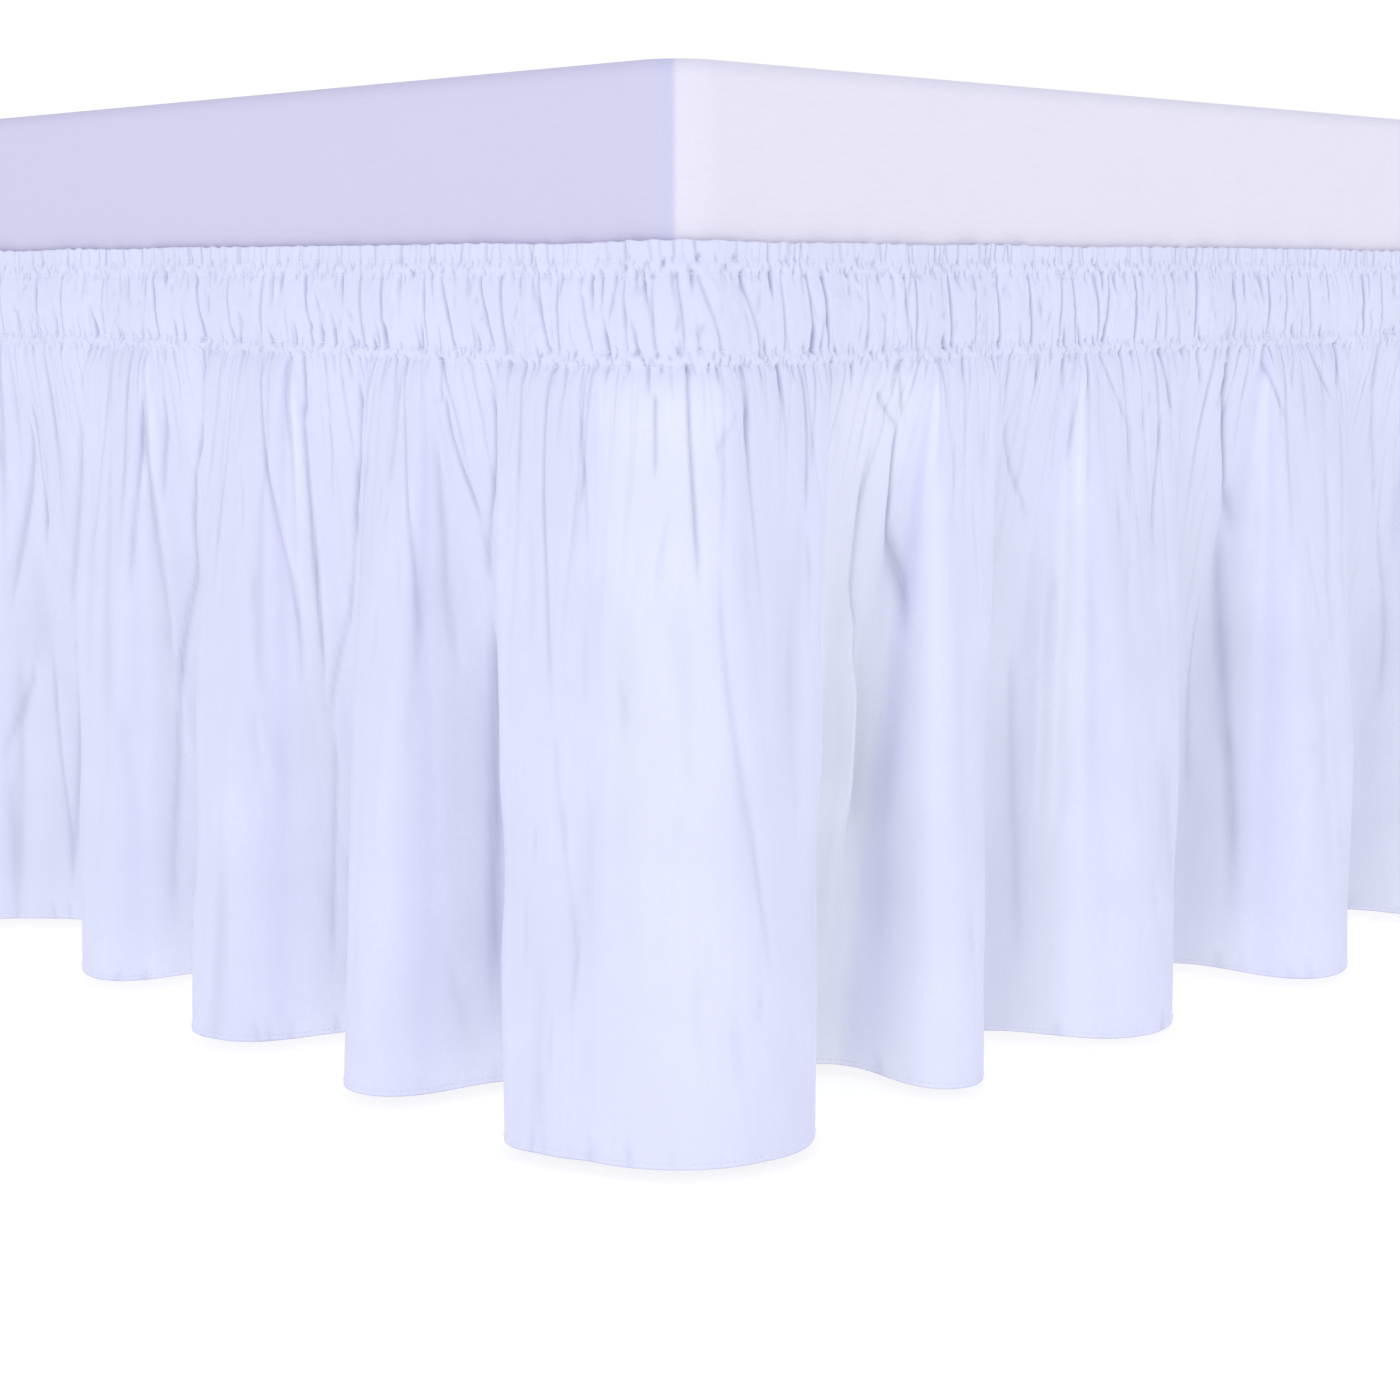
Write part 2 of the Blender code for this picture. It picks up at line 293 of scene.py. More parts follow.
BAND_END = LOWER_SEAM_2 - 0.0050
HEADING_TOP, HEADING_END = 0.394, 0.3692       # between these the heading's rows are even
BAND_Z = steps((RUFFLE_TOP, UPPER_SEAM, 5), (UPPER_SEAM, UPPER_SEAM_2, 5),
               (UPPER_SEAM_2, HEADING_TOP, 3), (HEADING_TOP, HEADING_END, 16),
               (HEADING_END, LOWER_SEAM, 3), (LOWER_SEAM, LOWER_SEAM_2, 6),
               (LOWER_SEAM_2, BAND_END, 3))
GATHERED = 0.068                # this far down the mesh is close enough for the gathers
GATHER_Z = BAND_END - 0.0013 - GATHERED * np.linspace(0.0, 1.0, 37) ** 1.2
HEM_NEAR = 0.040                # below this the rows draw closer towards the hem
HEM_OFFSETS = np.array([0.0042, 0.0023, 0.0010, 0.0, -0.0009, -0.0018])  # from its stitches
LOWER_Z = np.concatenate((
    steps((BAND_END - GATHERED - 0.006, HEM_NEAR, 37),
          (HEM_NEAR, HEM_Z + HEM_STITCH + HEM_OFFSETS[0], 4)),
    HEM_Z + HEM_STITCH + HEM_OFFSETS, [HEM_Z]))
DROP_Z = np.concatenate((GATHER_Z, LOWER_Z))
TOP_ROWS, HEM_ROWS = 3, 6       # rows of the ruffle and the hem that have cloth turned in
TOP_TURN = RUFFLE_TOP - BAND_Z[TOP_ROWS - 1]
HEM_TURN = DROP_Z[-HEM_ROWS] - HEM_Z


# ---------------------------------------------------------------- relief of the cloth

# A trough in the cloth, or a ridge where deep is negative: it runs down from a height at its
# place at the channel to another height and place, swaying sideways and growing wider.
Line = namedtuple("Line", "top end at foot deep wide wide_foot soft fade_in fade_out bow skew",
                  defaults=(0.0, 0.2, 0.5, 0.0, 0.0))
REACH = 7.0                     # a line is worked out this many widths to each side
SLANT_BLUR = 1.5                # the share of its step from row to row that widens it


def smooth(value):
    """0 to 1, level at both ends."""
    value = np.clip(value, 0.0, 1.0)
    return value * value * (3.0 - 2.0 * value)


def relief(lines, heights, head):
    """How far the lines push the cloth in, for every height and every place in head."""
    field = np.zeros((len(heights), len(head)))
    copies = [line._replace(at=line.at + lap, foot=line.foot + lap)
              for line in lines for lap in (-PERIMETER, 0.0, PERIMETER)]
    for line in copies:
        margin = REACH * max(line.wide, line.wide_foot) + abs(line.bow)
        low = np.searchsorted(head, min(line.at, line.foot) - margin)
        high = np.searchsorted(head, max(line.at, line.foot) + margin)
        rows = np.nonzero((heights <= line.top) & (heights >= line.end))[0]
        if low == high or not len(rows):
            continue
        way = ((line.top - heights[rows]) / (line.top - line.end))[:, None]
        centre = line.at + (line.foot - line.at) * smooth(way) + line.bow * 4 * way * (1 - way)
        deep = line.deep * smooth(way / max(line.fade_in, 1e-6)) \
            * smooth((1 - way) / max(line.fade_out, 1e-6))
        wide = line.wide + (line.wide_foot - line.wide) * way
        if len(rows) > 1:           # where a line crosses the rows at a slant, it blurs
            wide = np.hypot(wide, SLANT_BLUR * np.gradient(centre[:, 0])[:, None])
        away = head[None, low:high] - centre
        least = (head[high - 1] - head[low]) / (high - low)     # one mesh column
        deep = deep * np.minimum(wide / least, 1.0)
        wide = np.maximum(wide, least)
        wide = wide * (1 + line.skew * np.sign(away))
        away = np.sqrt((away / wide) ** 2 + line.soft ** 2) - line.soft
        field[rows, low:high] += deep * np.exp(-away)
    return field


# Shade is painted into a trough where it lies deeper than the cloth to its sides: how far to each
# side that is judged, how much deeper gets the darkest painted shade, and its share of that shade
Scale = namedtuple("Scale", "reach full share")
SCALES = (Scale(0.005, 0.0020, 1.0), Scale(0.018, 0.0060, 0.40))
EDGE_SHADE = 0.7                # painted shade of the hem's very edge and of what is inside it
VALLEY = 0.036                  # how far in the folds' valleys lie at the hem


def hollows(push, head):
    """How far each point lies in a narrow hollow, from 0 to 1: its share of painted shade."""
    middles = (push[:, 1:] + push[:, :-1]) / 2 * np.diff(head)
    total = np.concatenate((np.zeros((len(push), 1)), np.cumsum(middles, axis=1)), axis=1)
    dark = 0.0
    for scale in SCALES:
        level = np.array([np.interp(head + scale.reach, head, row)
                          - np.interp(head - scale.reach, head, row) for row in total])
        deeper = (push - level / (2 * scale.reach)) / scale.full
        dark = dark + scale.share * np.clip(deeper, 0.0, 1.0)
    return np.clip(dark, 0.0, 1.0)


# How the light painted onto the folds' flanks and the shade painted into their valleys come and
# go, each from a start over a stretch. They go by how far in a fold reaches at the hem (0 in line
# with the box's face, 1 as far in as VALLEY, below 0 on the folds' fronts), by how far the folds
# have grown (1 at the hem), or by the place along the strip.
Ramp = namedtuple("Ramp", "start over")
FLANK_IN, FLANK_PAST = Ramp(-0.80, 0.4), Ramp(0.1, 0.6)  # a flank's light, by how far in
DEEPEST_IN = Ramp(0.95, 0.3)                             # that of the deepest valleys, likewise
VALLEY_SHADING_IN, VALLEY_SHADING_GROWN = Ramp(-0.4, 0.4), Ramp(0.1, 0.5)    # painted valley shade, by how far in and by growth
LIT_GROWN = Ramp(0.0, 0.10)                              # all light, by growth
DIM_FROM, DIM_TO = Ramp(-0.61, 0.03), Ramp(-0.50, 0.04)  # the strip far along the foot, which
DIM = 0.8                                                # loses this much of its light
FLANK_LIGHT, FLANK_FADE = 1.05, 0.55    # a flank's light, and how much less it is at the hem
VALLEY_LIGHT = 0.5                      # what a valley keeps of it at the hem
DEEPEST_LIGHT = 0.9                     # light of the deepest valleys at the hem,
DEEPEST_TOP = 0.4                       # and what they have of it before they grow


def ramp(value, span):
    """0 before a ramp's start, 1 past its stretch."""
    return smooth((value - span.start) / span.over)


def fold_light(fold, share, head):
    """Light painted on the folds' flanks along a row, and shade painted in their valleys."""
    inside = -fold / VALLEY
    past = ramp(inside, FLANK_PAST) * (1.0 - VALLEY_LIGHT * share)
    flank = ramp(inside, FLANK_IN) * (1.0 - past) * (FLANK_LIGHT - FLANK_FADE * share)
    grown = DEEPEST_TOP + (1.0 - DEEPEST_TOP) * share
    deepest = DEEPEST_LIGHT * ramp(inside, DEEPEST_IN) * grown
    valley_shading = ramp(inside, VALLEY_SHADING_IN) * ramp(share, VALLEY_SHADING_GROWN)
    dim = ramp(head, DIM_FROM) * (1.0 - ramp(head, DIM_TO))
    return (flank + deepest) * ramp(share, LIT_GROWN) * (1.0 - DIM * dim), valley_shading


# The main creases, each at its own place: where it starts along the lower channel from the front
# corner (the foot of the bed is negative) and how far it leans by its end; the depths below
# the channel of its start and end; how deep it is (negative is a ridge) and how wide; how far
# it sways halfway down; and the part of its depth that is a sharp line in a soft trough.
# placed_depth scales the depths by the part of the skirt that a crease is on.
Crease = namedtuple("Crease", "at lean start end deep wide sway sharp skew",
                    defaults=(0.0, 0.45, 0.0))
CREASES = (
    # foot of the bed, the fold furthest from the corner
    Crease(-0.489, -0.031, 0.035, 0.165, 0.0028, 0.0045, sharp=0.0),
    Crease(-0.520, -0.013, 0.170, 0.340, 0.0042, 0.0050, sharp=0.1),
    Crease(-0.533, -0.009, 0.060, 0.120, 0.0012, 0.0025),
    Crease(-0.540, 0.000, 0.030, 0.130, 0.0020, 0.0020),
    Crease(-0.540, 0.007, 0.180, 0.340, 0.0014, 0.0020),
    Crease(-0.548, -0.017, 0.035, 0.170, 0.0026, 0.0033, 0.003, sharp=0.25),
    Crease(-0.552, -0.020, 0.190, 0.260, 0.0020, 0.0027, sharp=0.2),
    Crease(-0.560, -0.004, 0.180, 0.345, 0.0036, 0.0070, sharp=0.0),
    # the next fold
    Crease(-0.352, -0.036, 0.000, 0.105, 0.0038, 0.0025, sharp=0.3),
    Crease(-0.384, -0.013, 0.075, 0.220, 0.0024, 0.0013, -0.004),
    Crease(-0.399, -0.005, 0.190, 0.330, 0.0022, 0.0026, sharp=0.2),
    Crease(-0.398, -0.003, 0.020, 0.090, 0.0018, 0.0010),
    Crease(-0.407, 0.007, 0.020, 0.195, 0.0012, 0.0010),
    Crease(-0.407, -0.008, 0.020, 0.140, 0.0021, 0.0016),
    Crease(-0.440, -0.007, 0.015, 0.120, 0.0012, 0.0015),
    Crease(-0.464, -0.015, 0.000, 0.025, 0.0022, 0.0020),
    # the third
    Crease(-0.218, -0.023, 0.010, 0.095, 0.0036, 0.0026),
    Crease(-0.238, -0.023, 0.070, 0.200, 0.0028, 0.0020, -0.004),
    Crease(-0.243, -0.012, 0.000, 0.080, 0.0013, 0.0015),
    Crease(-0.261, -0.007, 0.000, 0.035, 0.0036, 0.0018),
    Crease(-0.261, -0.004, 0.185, 0.330, 0.0020, 0.0016, sharp=0.2),
    Crease(-0.268, 0.004, 0.015, 0.185, 0.0024, 0.0010),
    Crease(-0.287, -0.004, 0.045, 0.225, 0.0020, 0.0038, sharp=0.1),
    Crease(-0.295, 0.021, 0.000, 0.175, 0.0021, 0.0011, 0.005),
    Crease(-0.318, -0.007, 0.000, 0.130, 0.0015, 0.0014),
    # the last before the corner
    Crease(-0.117, -0.031, 0.008, 0.115, 0.0034, 0.0020),
    Crease(-0.147, -0.003, 0.110, 0.340, 0.0050, 0.0022, sharp=0.1),
    Crease(-0.151, -0.005, 0.000, 0.025, 0.0020, 0.0010),
    Crease(-0.151, 0.009, 0.012, 0.080, 0.0030, 0.0014, -0.005),
    Crease(-0.157, 0.002, 0.025, 0.165, 0.0015, 0.0013),
    Crease(-0.177, 0.011, 0.000, 0.160, 0.0018, 0.0010, 0.006),
    Crease(-0.179, -0.001, 0.000, 0.070, 0.0022, 0.0045, sharp=0.2),
    # the corner
    Crease(-0.090, 0.000, 0.000, 0.060, 0.0012, 0.0024),
    Crease(-0.070, 0.013, 0.000, 0.160, 0.0022, 0.0019, -0.006),
    Crease(-0.056, 0.016, 0.155, 0.280, 0.0014, 0.0026, sharp=0.1),
    Crease(-0.050, 0.009, 0.000, 0.085, 0.0014, 0.0010),
    Crease(-0.008, 0.000, 0.008, 0.050, 0.0020, 0.0010),
    Crease(0.004, 0.003, 0.000, 0.100, 0.0024, 0.0012),
    Crease(0.015, 0.014, 0.080, 0.285, 0.0014, 0.0016, -0.002, sharp=0.2),
    Crease(0.025, -0.011, 0.015, 0.040, 0.0010, 0.0012, sharp=0.0),
    Crease(0.034, -0.006, 0.000, 0.040, 0.0012, 0.0016),
    Crease(0.067, -0.002, 0.000, 0.070, 0.0025, 0.0025, 0.003),
    # side of the bed, the first fold
    Crease(0.125, 0.018, 0.012, 0.032, 0.0030, 0.0013, sharp=0.3),
    Crease(0.129, 0.015, 0.030, 0.210, 0.0022, 0.0024, -0.002, sharp=0.3),
    Crease(0.130, 0.011, 0.105, 0.240, -0.0070, 0.0070, sharp=0.0, skew=-0.5),
    Crease(0.134, 0.015, 0.130, 0.320, -0.0065, 0.0042, 0.004, sharp=0.0),
    Crease(0.136, 0.011, 0.000, 0.030, 0.0024, 0.0018),
    Crease(0.144, 0.013, 0.022, 0.140, 0.0036, 0.0015, 0.002),
    Crease(0.156, 0.001, 0.110, 0.320, 0.0009, 0.0030, sharp=0.1),
    Crease(0.196, -0.002, 0.015, 0.060, 0.0011, 0.0030, sharp=0.2),
    Crease(0.226, 0.031, 0.028, 0.090, 0.0028, 0.0028, -0.003, sharp=0.25),
    Crease(0.228, -0.001, 0.015, 0.035, 0.0012, 0.0020),
    # the next fold
    Crease(0.239, 0.003, 0.000, 0.015, 0.0020, 0.0014),
    Crease(0.256, 0.007, 0.140, 0.330, 0.0020, 0.0028, sharp=0.2),
    Crease(0.260, 0.005, 0.000, 0.020, 0.0020, 0.0019),
    Crease(0.264, 0.002, 0.085, 0.260, -0.0008, 0.0010, sharp=0.0),
    Crease(0.270, 0.001, 0.105, 0.260, -0.0010, 0.0010, sharp=0.0),
    Crease(0.273, -0.003, 0.000, 0.060, 0.0017, 0.0010),
    Crease(0.277, 0.001, 0.000, 0.075, 0.0012, 0.0015),
    Crease(0.290, 0.016, 0.000, 0.040, 0.0018, 0.0017),
    Crease(0.328, -0.009, 0.018, 0.042, 0.0014, 0.0019),
    Crease(0.340, -0.014, 0.025, 0.110, 0.0023, 0.0027, -0.004),
    Crease(0.342, 0.006, 0.000, 0.035, 0.0027, 0.0022),
    # the third
    Crease(0.377, 0.009, 0.000, 0.020, 0.0024, 0.0021),
    Crease(0.408, 0.027, 0.000, 0.110, 0.0052, 0.0028, 0.003, sharp=0.3),
    Crease(0.413, -0.004, 0.015, 0.035, 0.0022, 0.0025),
    Crease(0.424, 0.004, 0.125, 0.270, 0.0018, 0.0012),
    Crease(0.432, 0.009, 0.080, 0.335, 0.0035, 0.0030, sharp=0.15),
    Crease(0.442, 0.014, 0.000, 0.042, 0.0022, 0.0010, -0.004),
    Crease(0.466, 0.007, 0.100, 0.160, 0.0012, 0.0033, sharp=0.2),
    Crease(0.469, -0.007, 0.000, 0.025, 0.0020, 0.0017),
    Crease(0.486, 0.015, 0.000, 0.032, 0.0027, 0.0022),
    # the furthest fold
    Crease(0.511, -0.014, 0.020, 0.170, 0.0016, 0.0028, sharp=0.2),
    Crease(0.515, -0.006, 0.000, 0.028, 0.0030, 0.0022),
    Crease(0.564, 0.032, 0.000, 0.115, 0.0026, 0.0036, sharp=0.2),
    Crease(0.594, 0.012, 0.050, 0.235, 0.0014, 0.0010, 0.006),
)
# Deep creases right across the heading, each at its own place: where it starts along the upper
# channel and how far it shifts on the way to the lower one
Tuck = namedtuple("Tuck", "at shift deep")
TUCKS = (
    Tuck(-0.561, 0.002, 0.0020), Tuck(-0.519, 0.001, 0.0025), Tuck(-0.490, -0.001, 0.0020),
    Tuck(-0.448, -0.001, 0.0015), Tuck(-0.396, 0.004, 0.0025), Tuck(-0.354, 0.005, 0.0025),
    Tuck(-0.323, 0.002, 0.0020), Tuck(-0.293, -0.002, 0.0020), Tuck(-0.257, 0.006, 0.0020),
    Tuck(-0.211, 0.001, 0.0020), Tuck(-0.194, 0.001, 0.0025), Tuck(-0.161, 0.001, 0.0020),
    Tuck(-0.148, 0.008, 0.0025), Tuck(-0.119, 0.009, 0.0025), Tuck(-0.106, 0.003, 0.0020),
    Tuck(-0.079, 0.006, 0.0020), Tuck(-0.067, 0.001, 0.0020), Tuck(-0.050, 0.006, 0.0015),
    Tuck(-0.023, 0.002, 0.0015), Tuck(-0.009, 0.001, 0.0015), Tuck(0.000, 0.003, 0.0015),
    Tuck(0.008, 0.010, 0.0015), Tuck(0.029, 0.013, 0.0015), Tuck(0.055, 0.003, 0.0015),
    Tuck(0.071, 0.005, 0.0020), Tuck(0.081, 0.005, 0.0025), Tuck(0.111, 0.001, 0.0015),
    Tuck(0.136, 0.003, 0.0015), Tuck(0.145, 0.001, 0.0020), Tuck(0.169, 0.004, 0.0025),
    Tuck(0.187, 0.002, 0.0015), Tuck(0.206, 0.003, 0.0020), Tuck(0.229, 0.004, 0.0025),
    Tuck(0.255, -0.001, 0.0020), Tuck(0.265, 0.004, 0.0025), Tuck(0.285, 0.003, 0.0025),
    Tuck(0.296, -0.003, 0.0025), Tuck(0.318, 0.001, 0.0025), Tuck(0.343, 0.003, 0.0015),
    Tuck(0.374, 0.000, 0.0025), Tuck(0.408, 0.003, 0.0020), Tuck(0.442, 0.001, 0.0025),
    Tuck(0.459, 0.001, 0.0020), Tuck(0.483, 0.005, 0.0020), Tuck(0.542, 0.002, 0.0025),
    Tuck(0.562, 0.002, 0.0020),
)
FOLD_LINE = 0.0007              # width of the sharp line in its middle
FAR_FOLD = -0.48                # placed troughs past this place, towards the side and along it,
NEAR_DEPTH = 0.66               # have this share of the depth in their row,
DEPTH_DIGITS = 4                # to a tenth of a millimetre
UPPER_DROP = 0.10               # placed troughs that start above this, down from the channel,
UPPER_DEPTH = 1.14              # are then deepened by this factor
HEADING_DEPTH = 0.88            # all creases of the heading keep this share of their depth
PLACED_TO = 0.60                # seeded creases take over from here
PLACED_SHARE = 0.7              # and are this shallow where there are placed ones
OVERRUN = 0.002                 # gathers start this far past the stitches they are drawn up by
TUCK_OVERRUN = 0.003            # and those that cross the heading
TUCK_ROOM = 0.002               # no seeded gather lies closer to one of TUCKS
CROSSING, FROM_TOP = 0.30, 0.65     # of the heading's gathers, up to these shares cross it or
                                    # hang from its top; the rest rise from its lower channel
RUFFLE_PITCH, CHANNEL_PITCH = 0.0028, 0.0019       # how closely each kind of line is scattered
HEADING_PITCH, CRUMPLE_PITCH = 0.0034, 0.0020
LONG_PITCH, SOFT_PITCH, SWELL_PITCH, FINE_PITCH = 0.026, 0.0085, 0.015, 0.0024
HEM_PUCKER_PITCH = 0.0080


def scattered(rng, low, high, pitch, spread):
    """Places from low to high about a pitch apart."""
    places = []
    at = low + pitch * rng.random()
    while at < high:
        places.append(at)
        at += pitch * (1 + spread * rng.uniform(-1, 1))
    return places


def ruffle_lines(rng, low, high):
    """Fine upright gathers of the ruffle."""
    return [Line(top=RUFFLE_TOP + 0.001, end=UPPER_SEAM - 0.001, at=at,
                 foot=at + rng.uniform(-0.0015, 0.0015),
                 deep=0.0002 + 0.0013 * rng.random() ** 2, wide=rng.uniform(0.0005, 0.0009),
                 wide_foot=0.0005, soft=0.1, fade_in=0.0, fade_out=0.1)
            for at in scattered(rng, low, high, RUFFLE_PITCH, 0.9)]


def channel_lines(rng, low, high):
    """Puckers between the two stitch lines of each elastic channel."""
    lines = []
    for upper, lower in ((UPPER_SEAM, UPPER_SEAM_2), (LOWER_SEAM, LOWER_SEAM_2)):
        for at in scattered(rng, low, high, CHANNEL_PITCH, 0.6):
            middle = rng.uniform(upper + 0.001, lower - 0.001)
            tall = rng.uniform(0.0025, 0.0060)
            lines.append(Line(top=middle + tall / 2, end=middle - tall / 2, at=at,
                              foot=at + rng.uniform(-0.0012, 0.0012),
                              deep=0.0003 + 0.0013 * rng.random(),
                              wide=0.0005, wide_foot=0.0005, soft=0.1, fade_out=0.2))
    return lines


def tuck_line(at, shift, deep, rng):
    """A gather right across the heading."""
    return Line(top=UPPER_SEAM_2 + TUCK_OVERRUN, end=LOWER_SEAM - TUCK_OVERRUN, at=at,
                foot=at + shift, deep=deep, wide=rng.uniform(0.0006, 0.0010), soft=0.1,
                wide_foot=rng.uniform(0.0006, 0.0010), fade_in=0.12, fade_out=0.12,
                bow=rng.uniform(-0.0008, 0.0008), skew=rng.uniform(-0.4, 0.4))


def heading_lines(rng, low, high):
    """Gathers of the heading: some cross it, others fade from one of its channels."""
    lines = [tuck_line(*tuck, rng) for tuck in TUCKS]
    taken = [tuck.at + tuck.shift / 2 for tuck in TUCKS]
    height = UPPER_SEAM_2 - LOWER_SEAM
    for at in scattered(rng, low, high, HEADING_PITCH, 0.8):
        kind = rng.random()
        deep = 0.0006 + 0.0028 * rng.random() ** 1.6
        shift = rng.uniform(-0.002, 0.006)
        length = height * rng.uniform(0.22, 0.75)
        near = any(abs(at - other) < TUCK_ROOM for other in taken)
        wide = rng.uniform(0.0005, 0.0010)
        if kind < CROSSING:
            if abs(at) > PLACED_TO:
                lines.append(tuck_line(at, shift, deep, rng))
        elif kind < FROM_TOP and not near:
            lines.append(Line(top=UPPER_SEAM_2 + OVERRUN, end=UPPER_SEAM_2 - length, at=at,
                              foot=at + shift * 0.6, deep=deep, wide=wide,
                              wide_foot=wide * 2.2, fade_in=0.08, fade_out=0.8,
                              skew=rng.uniform(-0.3, 0.3)))
        elif not near:
            lines.append(Line(top=LOWER_SEAM + length, end=LOWER_SEAM - OVERRUN,
                              at=at - shift * 0.6, foot=at, deep=deep, wide=wide * 2.2,
                              wide_foot=wide, fade_in=0.8, fade_out=0.08,
                              skew=rng.uniform(-0.3, 0.3)))
    for at in scattered(rng, low, high, CRUMPLE_PITCH, 0.9):
        middle = LOWER_SEAM + height * rng.random()
        tall = height * rng.uniform(0.15, 0.60)
        lean = rng.uniform(-0.004, 0.004)
        wide = rng.uniform(0.0006, 0.0020)
        lines.append(Line(top=middle + tall / 2, end=middle - tall / 2, at=at - lean / 2,
                          foot=at + lean / 2, deep=rng.uniform(-0.0012, 0.0016),
                          wide=wide, wide_foot=wide, soft=0.2, fade_in=0.5))
    return [line._replace(deep=line.deep * HEADING_DEPTH) for line in lines]


# Gathers under the lower channel: pitch, shortest and longest, deepest, and width at the top
Gather = namedtuple("Gather", "pitch short long deep wide")
GATHERS = (
    Gather(0.0070, 0.005, 0.022, 0.0030, 0.0007),
    Gather(0.0050, 0.015, 0.090, 0.0013, 0.0007),
    Gather(0.0150, 0.040, 0.190, 0.0020, 0.0010),
)


def seam_lines(rng, low, high):
    """Gathers that start at the lower channel and fade into the drop, a few far down it."""
    lines = []
    for gather in GATHERS:
        for at in scattered(rng, low, high, gather.pitch, 0.85):
            length = rng.uniform(gather.short, gather.long)
            deep = gather.deep * (0.25 + 0.75 * rng.random() ** 1.6)
            wide = gather.wide * rng.uniform(0.8, 1.3)
            lines.append(Line(top=LOWER_SEAM_2 + OVERRUN, end=LOWER_SEAM_2 - length, at=at,
                              foot=at + rng.uniform(-0.15, 0.15) * min(length, 0.05),
                              deep=deep * (PLACED_SHARE if abs(at) < PLACED_TO else 1.0),
                              wide=wide, wide_foot=wide + 0.015 * length + 0.0003, soft=0.1,
                              fade_in=0.0015 / length, fade_out=0.8,
                              skew=rng.uniform(-0.3, 0.3)))
    return lines


def placed_depth(crease):
    """How deep a placed crease is: troughs are scaled by their place, ridges stay as they are."""
    deep = crease.deep
    if deep > 0 and crease.at > FAR_FOLD:
        deep = round(deep * NEAR_DEPTH, DEPTH_DIGITS)
    if deep > 0 and crease.start < UPPER_DROP:
        deep *= UPPER_DEPTH
    return deep


def placed_lines():
    """The placed creases: each a soft trough with a sharp line down its middle."""
    lines = []
    for crease in CREASES:
        at_channel = crease.start == 0
        deep = placed_depth(crease)
        trough = Line(top=LOWER_SEAM_2 - crease.start + (OVERRUN if at_channel else 0),
                      end=LOWER_SEAM_2 - crease.end, at=crease.at,
                      foot=crease.at + crease.lean, deep=deep * (1 - crease.sharp),
                      wide=crease.wide, wide_foot=crease.wide * 1.3, soft=0.4,
                      fade_in=0.02 if at_channel else 0.16, fade_out=0.3,
                      bow=crease.sway, skew=crease.skew)
        lines.append(trough)
        lines.append(trough._replace(deep=deep * crease.sharp, soft=0.05,
                                     wide=FOLD_LINE, wide_foot=FOLD_LINE * 1.4))
    return lines


def drop_line(at, start, length, lean, deep, wide, flare, **shape):
    """A line of the drop: from a depth below the channel down a length, wider by its foot."""
    return Line(top=LOWER_SEAM_2 - start, end=LOWER_SEAM_2 - start - length, at=at,
                foot=at + lean, deep=deep, wide=wide, wide_foot=wide * flare, **shape)


def long_lines(rng, low, high):
    """Creases of the drop past the stretch that CREASES covers."""
    lines = []
    for at in scattered(rng, low, high, LONG_PITCH, 0.5):
        start = rng.choice((0.0, 0.0, 0.01, 0.03, 0.06, 0.10))
        length = rng.uniform(0.05, 0.20)
        wide = rng.uniform(0.0035, 0.0075)
        deep = rng.uniform(0.0014, 0.0036) * (-0.6 if rng.random() < 0.2 else 1.0)
        lean = rng.uniform(-0.02, 0.02)
        bow = rng.uniform(-0.004, 0.004)
        skew = rng.uniform(-0.3, 0.3)
        if abs(at) > PLACED_TO:
            lines.append(drop_line(at, start, length, lean, deep, wide, 1.6, soft=0.6,
                                   fade_in=0.02 if start == 0 else 0.25, fade_out=0.6,
                                   bow=bow, skew=skew))
    return lines


def soft_lines(rng, low, high):
    """Broad shallow swells that leave no part of the drop quite even."""
    lines = []
    for at in scattered(rng, low, high, SOFT_PITCH, 0.8):
        start = 0.20 * rng.random() ** 1.5
        length = rng.uniform(0.07, 0.22)
        wide = rng.uniform(0.0020, 0.0060)
        lines.append(drop_line(at, start, length, rng.uniform(-0.010, 0.010),
                               rng.uniform(-0.0016, 0.0016), wide, 1.6, soft=0.7, fade_in=0.3))
    return lines


def swell_lines(rng, low, high):
    """Long soft swells and troughs of the lower drop."""
    lines = []
    for at in scattered(rng, low, high, SWELL_PITCH, 0.8):
        start = rng.uniform(0.06, 0.26)
        length = rng.uniform(0.08, 0.24)
        wide = rng.uniform(0.003, 0.009)
        lines.append(drop_line(at, start, length, rng.uniform(-0.012, 0.012),
                               rng.uniform(-0.0030, 0.0032), wide, 1.3, soft=1.5, fade_in=0.4))
    return lines


def fine_lines(rng, low, high):
    """Thin shallow wrinkles all over the drop, ridges among them."""
    lines = []
    for at in scattered(rng, low, high, FINE_PITCH, 0.9):
        start = 0.28 * rng.random() ** 2.2
        length = rng.uniform(0.012, 0.070)
        wide = rng.uniform(0.0009, 0.0016) + 0.004 * start
        lines.append(drop_line(at, start, length, rng.uniform(-0.10, 0.10) * length,
                               rng.uniform(-0.0006, 0.0008), wide, 1.5, soft=0.2, fade_in=0.4,
                               bow=rng.uniform(-0.0015, 0.0015)))
    return lines


def hem_lines(rng, low, high):
    """Puckers where the hem is sewn."""
    lines = []
    for at in scattered(rng, low, high, HEM_PUCKER_PITCH, 0.6):
        height = rng.uniform(0.007, 0.016)
        lines.append(Line(top=HEM_Z + height, end=HEM_Z - 0.001, at=at,
                          foot=at + rng.uniform(-0.003, 0.003),
                          deep=rng.uniform(-0.0005, 0.0009), wide=0.0018, wide_foot=0.0014,
                          soft=0.4, fade_in=0.5, fade_out=0.2))
    return lines


# ---------------------------------------------------------------- the ring of cloth

FRONT_COLUMN = 0.00056          # width of a mesh column at the channels, on the front
BACK_COLUMN = 0.0029            # and on the rest; down from GATHERED they are twice as wide
LEAST_OUT = 0.0005              # the cloth stays this far outside the box
WALL_END = BOX_LOW.z - 0.004    # below this it may swing in under the box
HEM_DIP = 0.0002                # the hem's edge lies this far below its last row


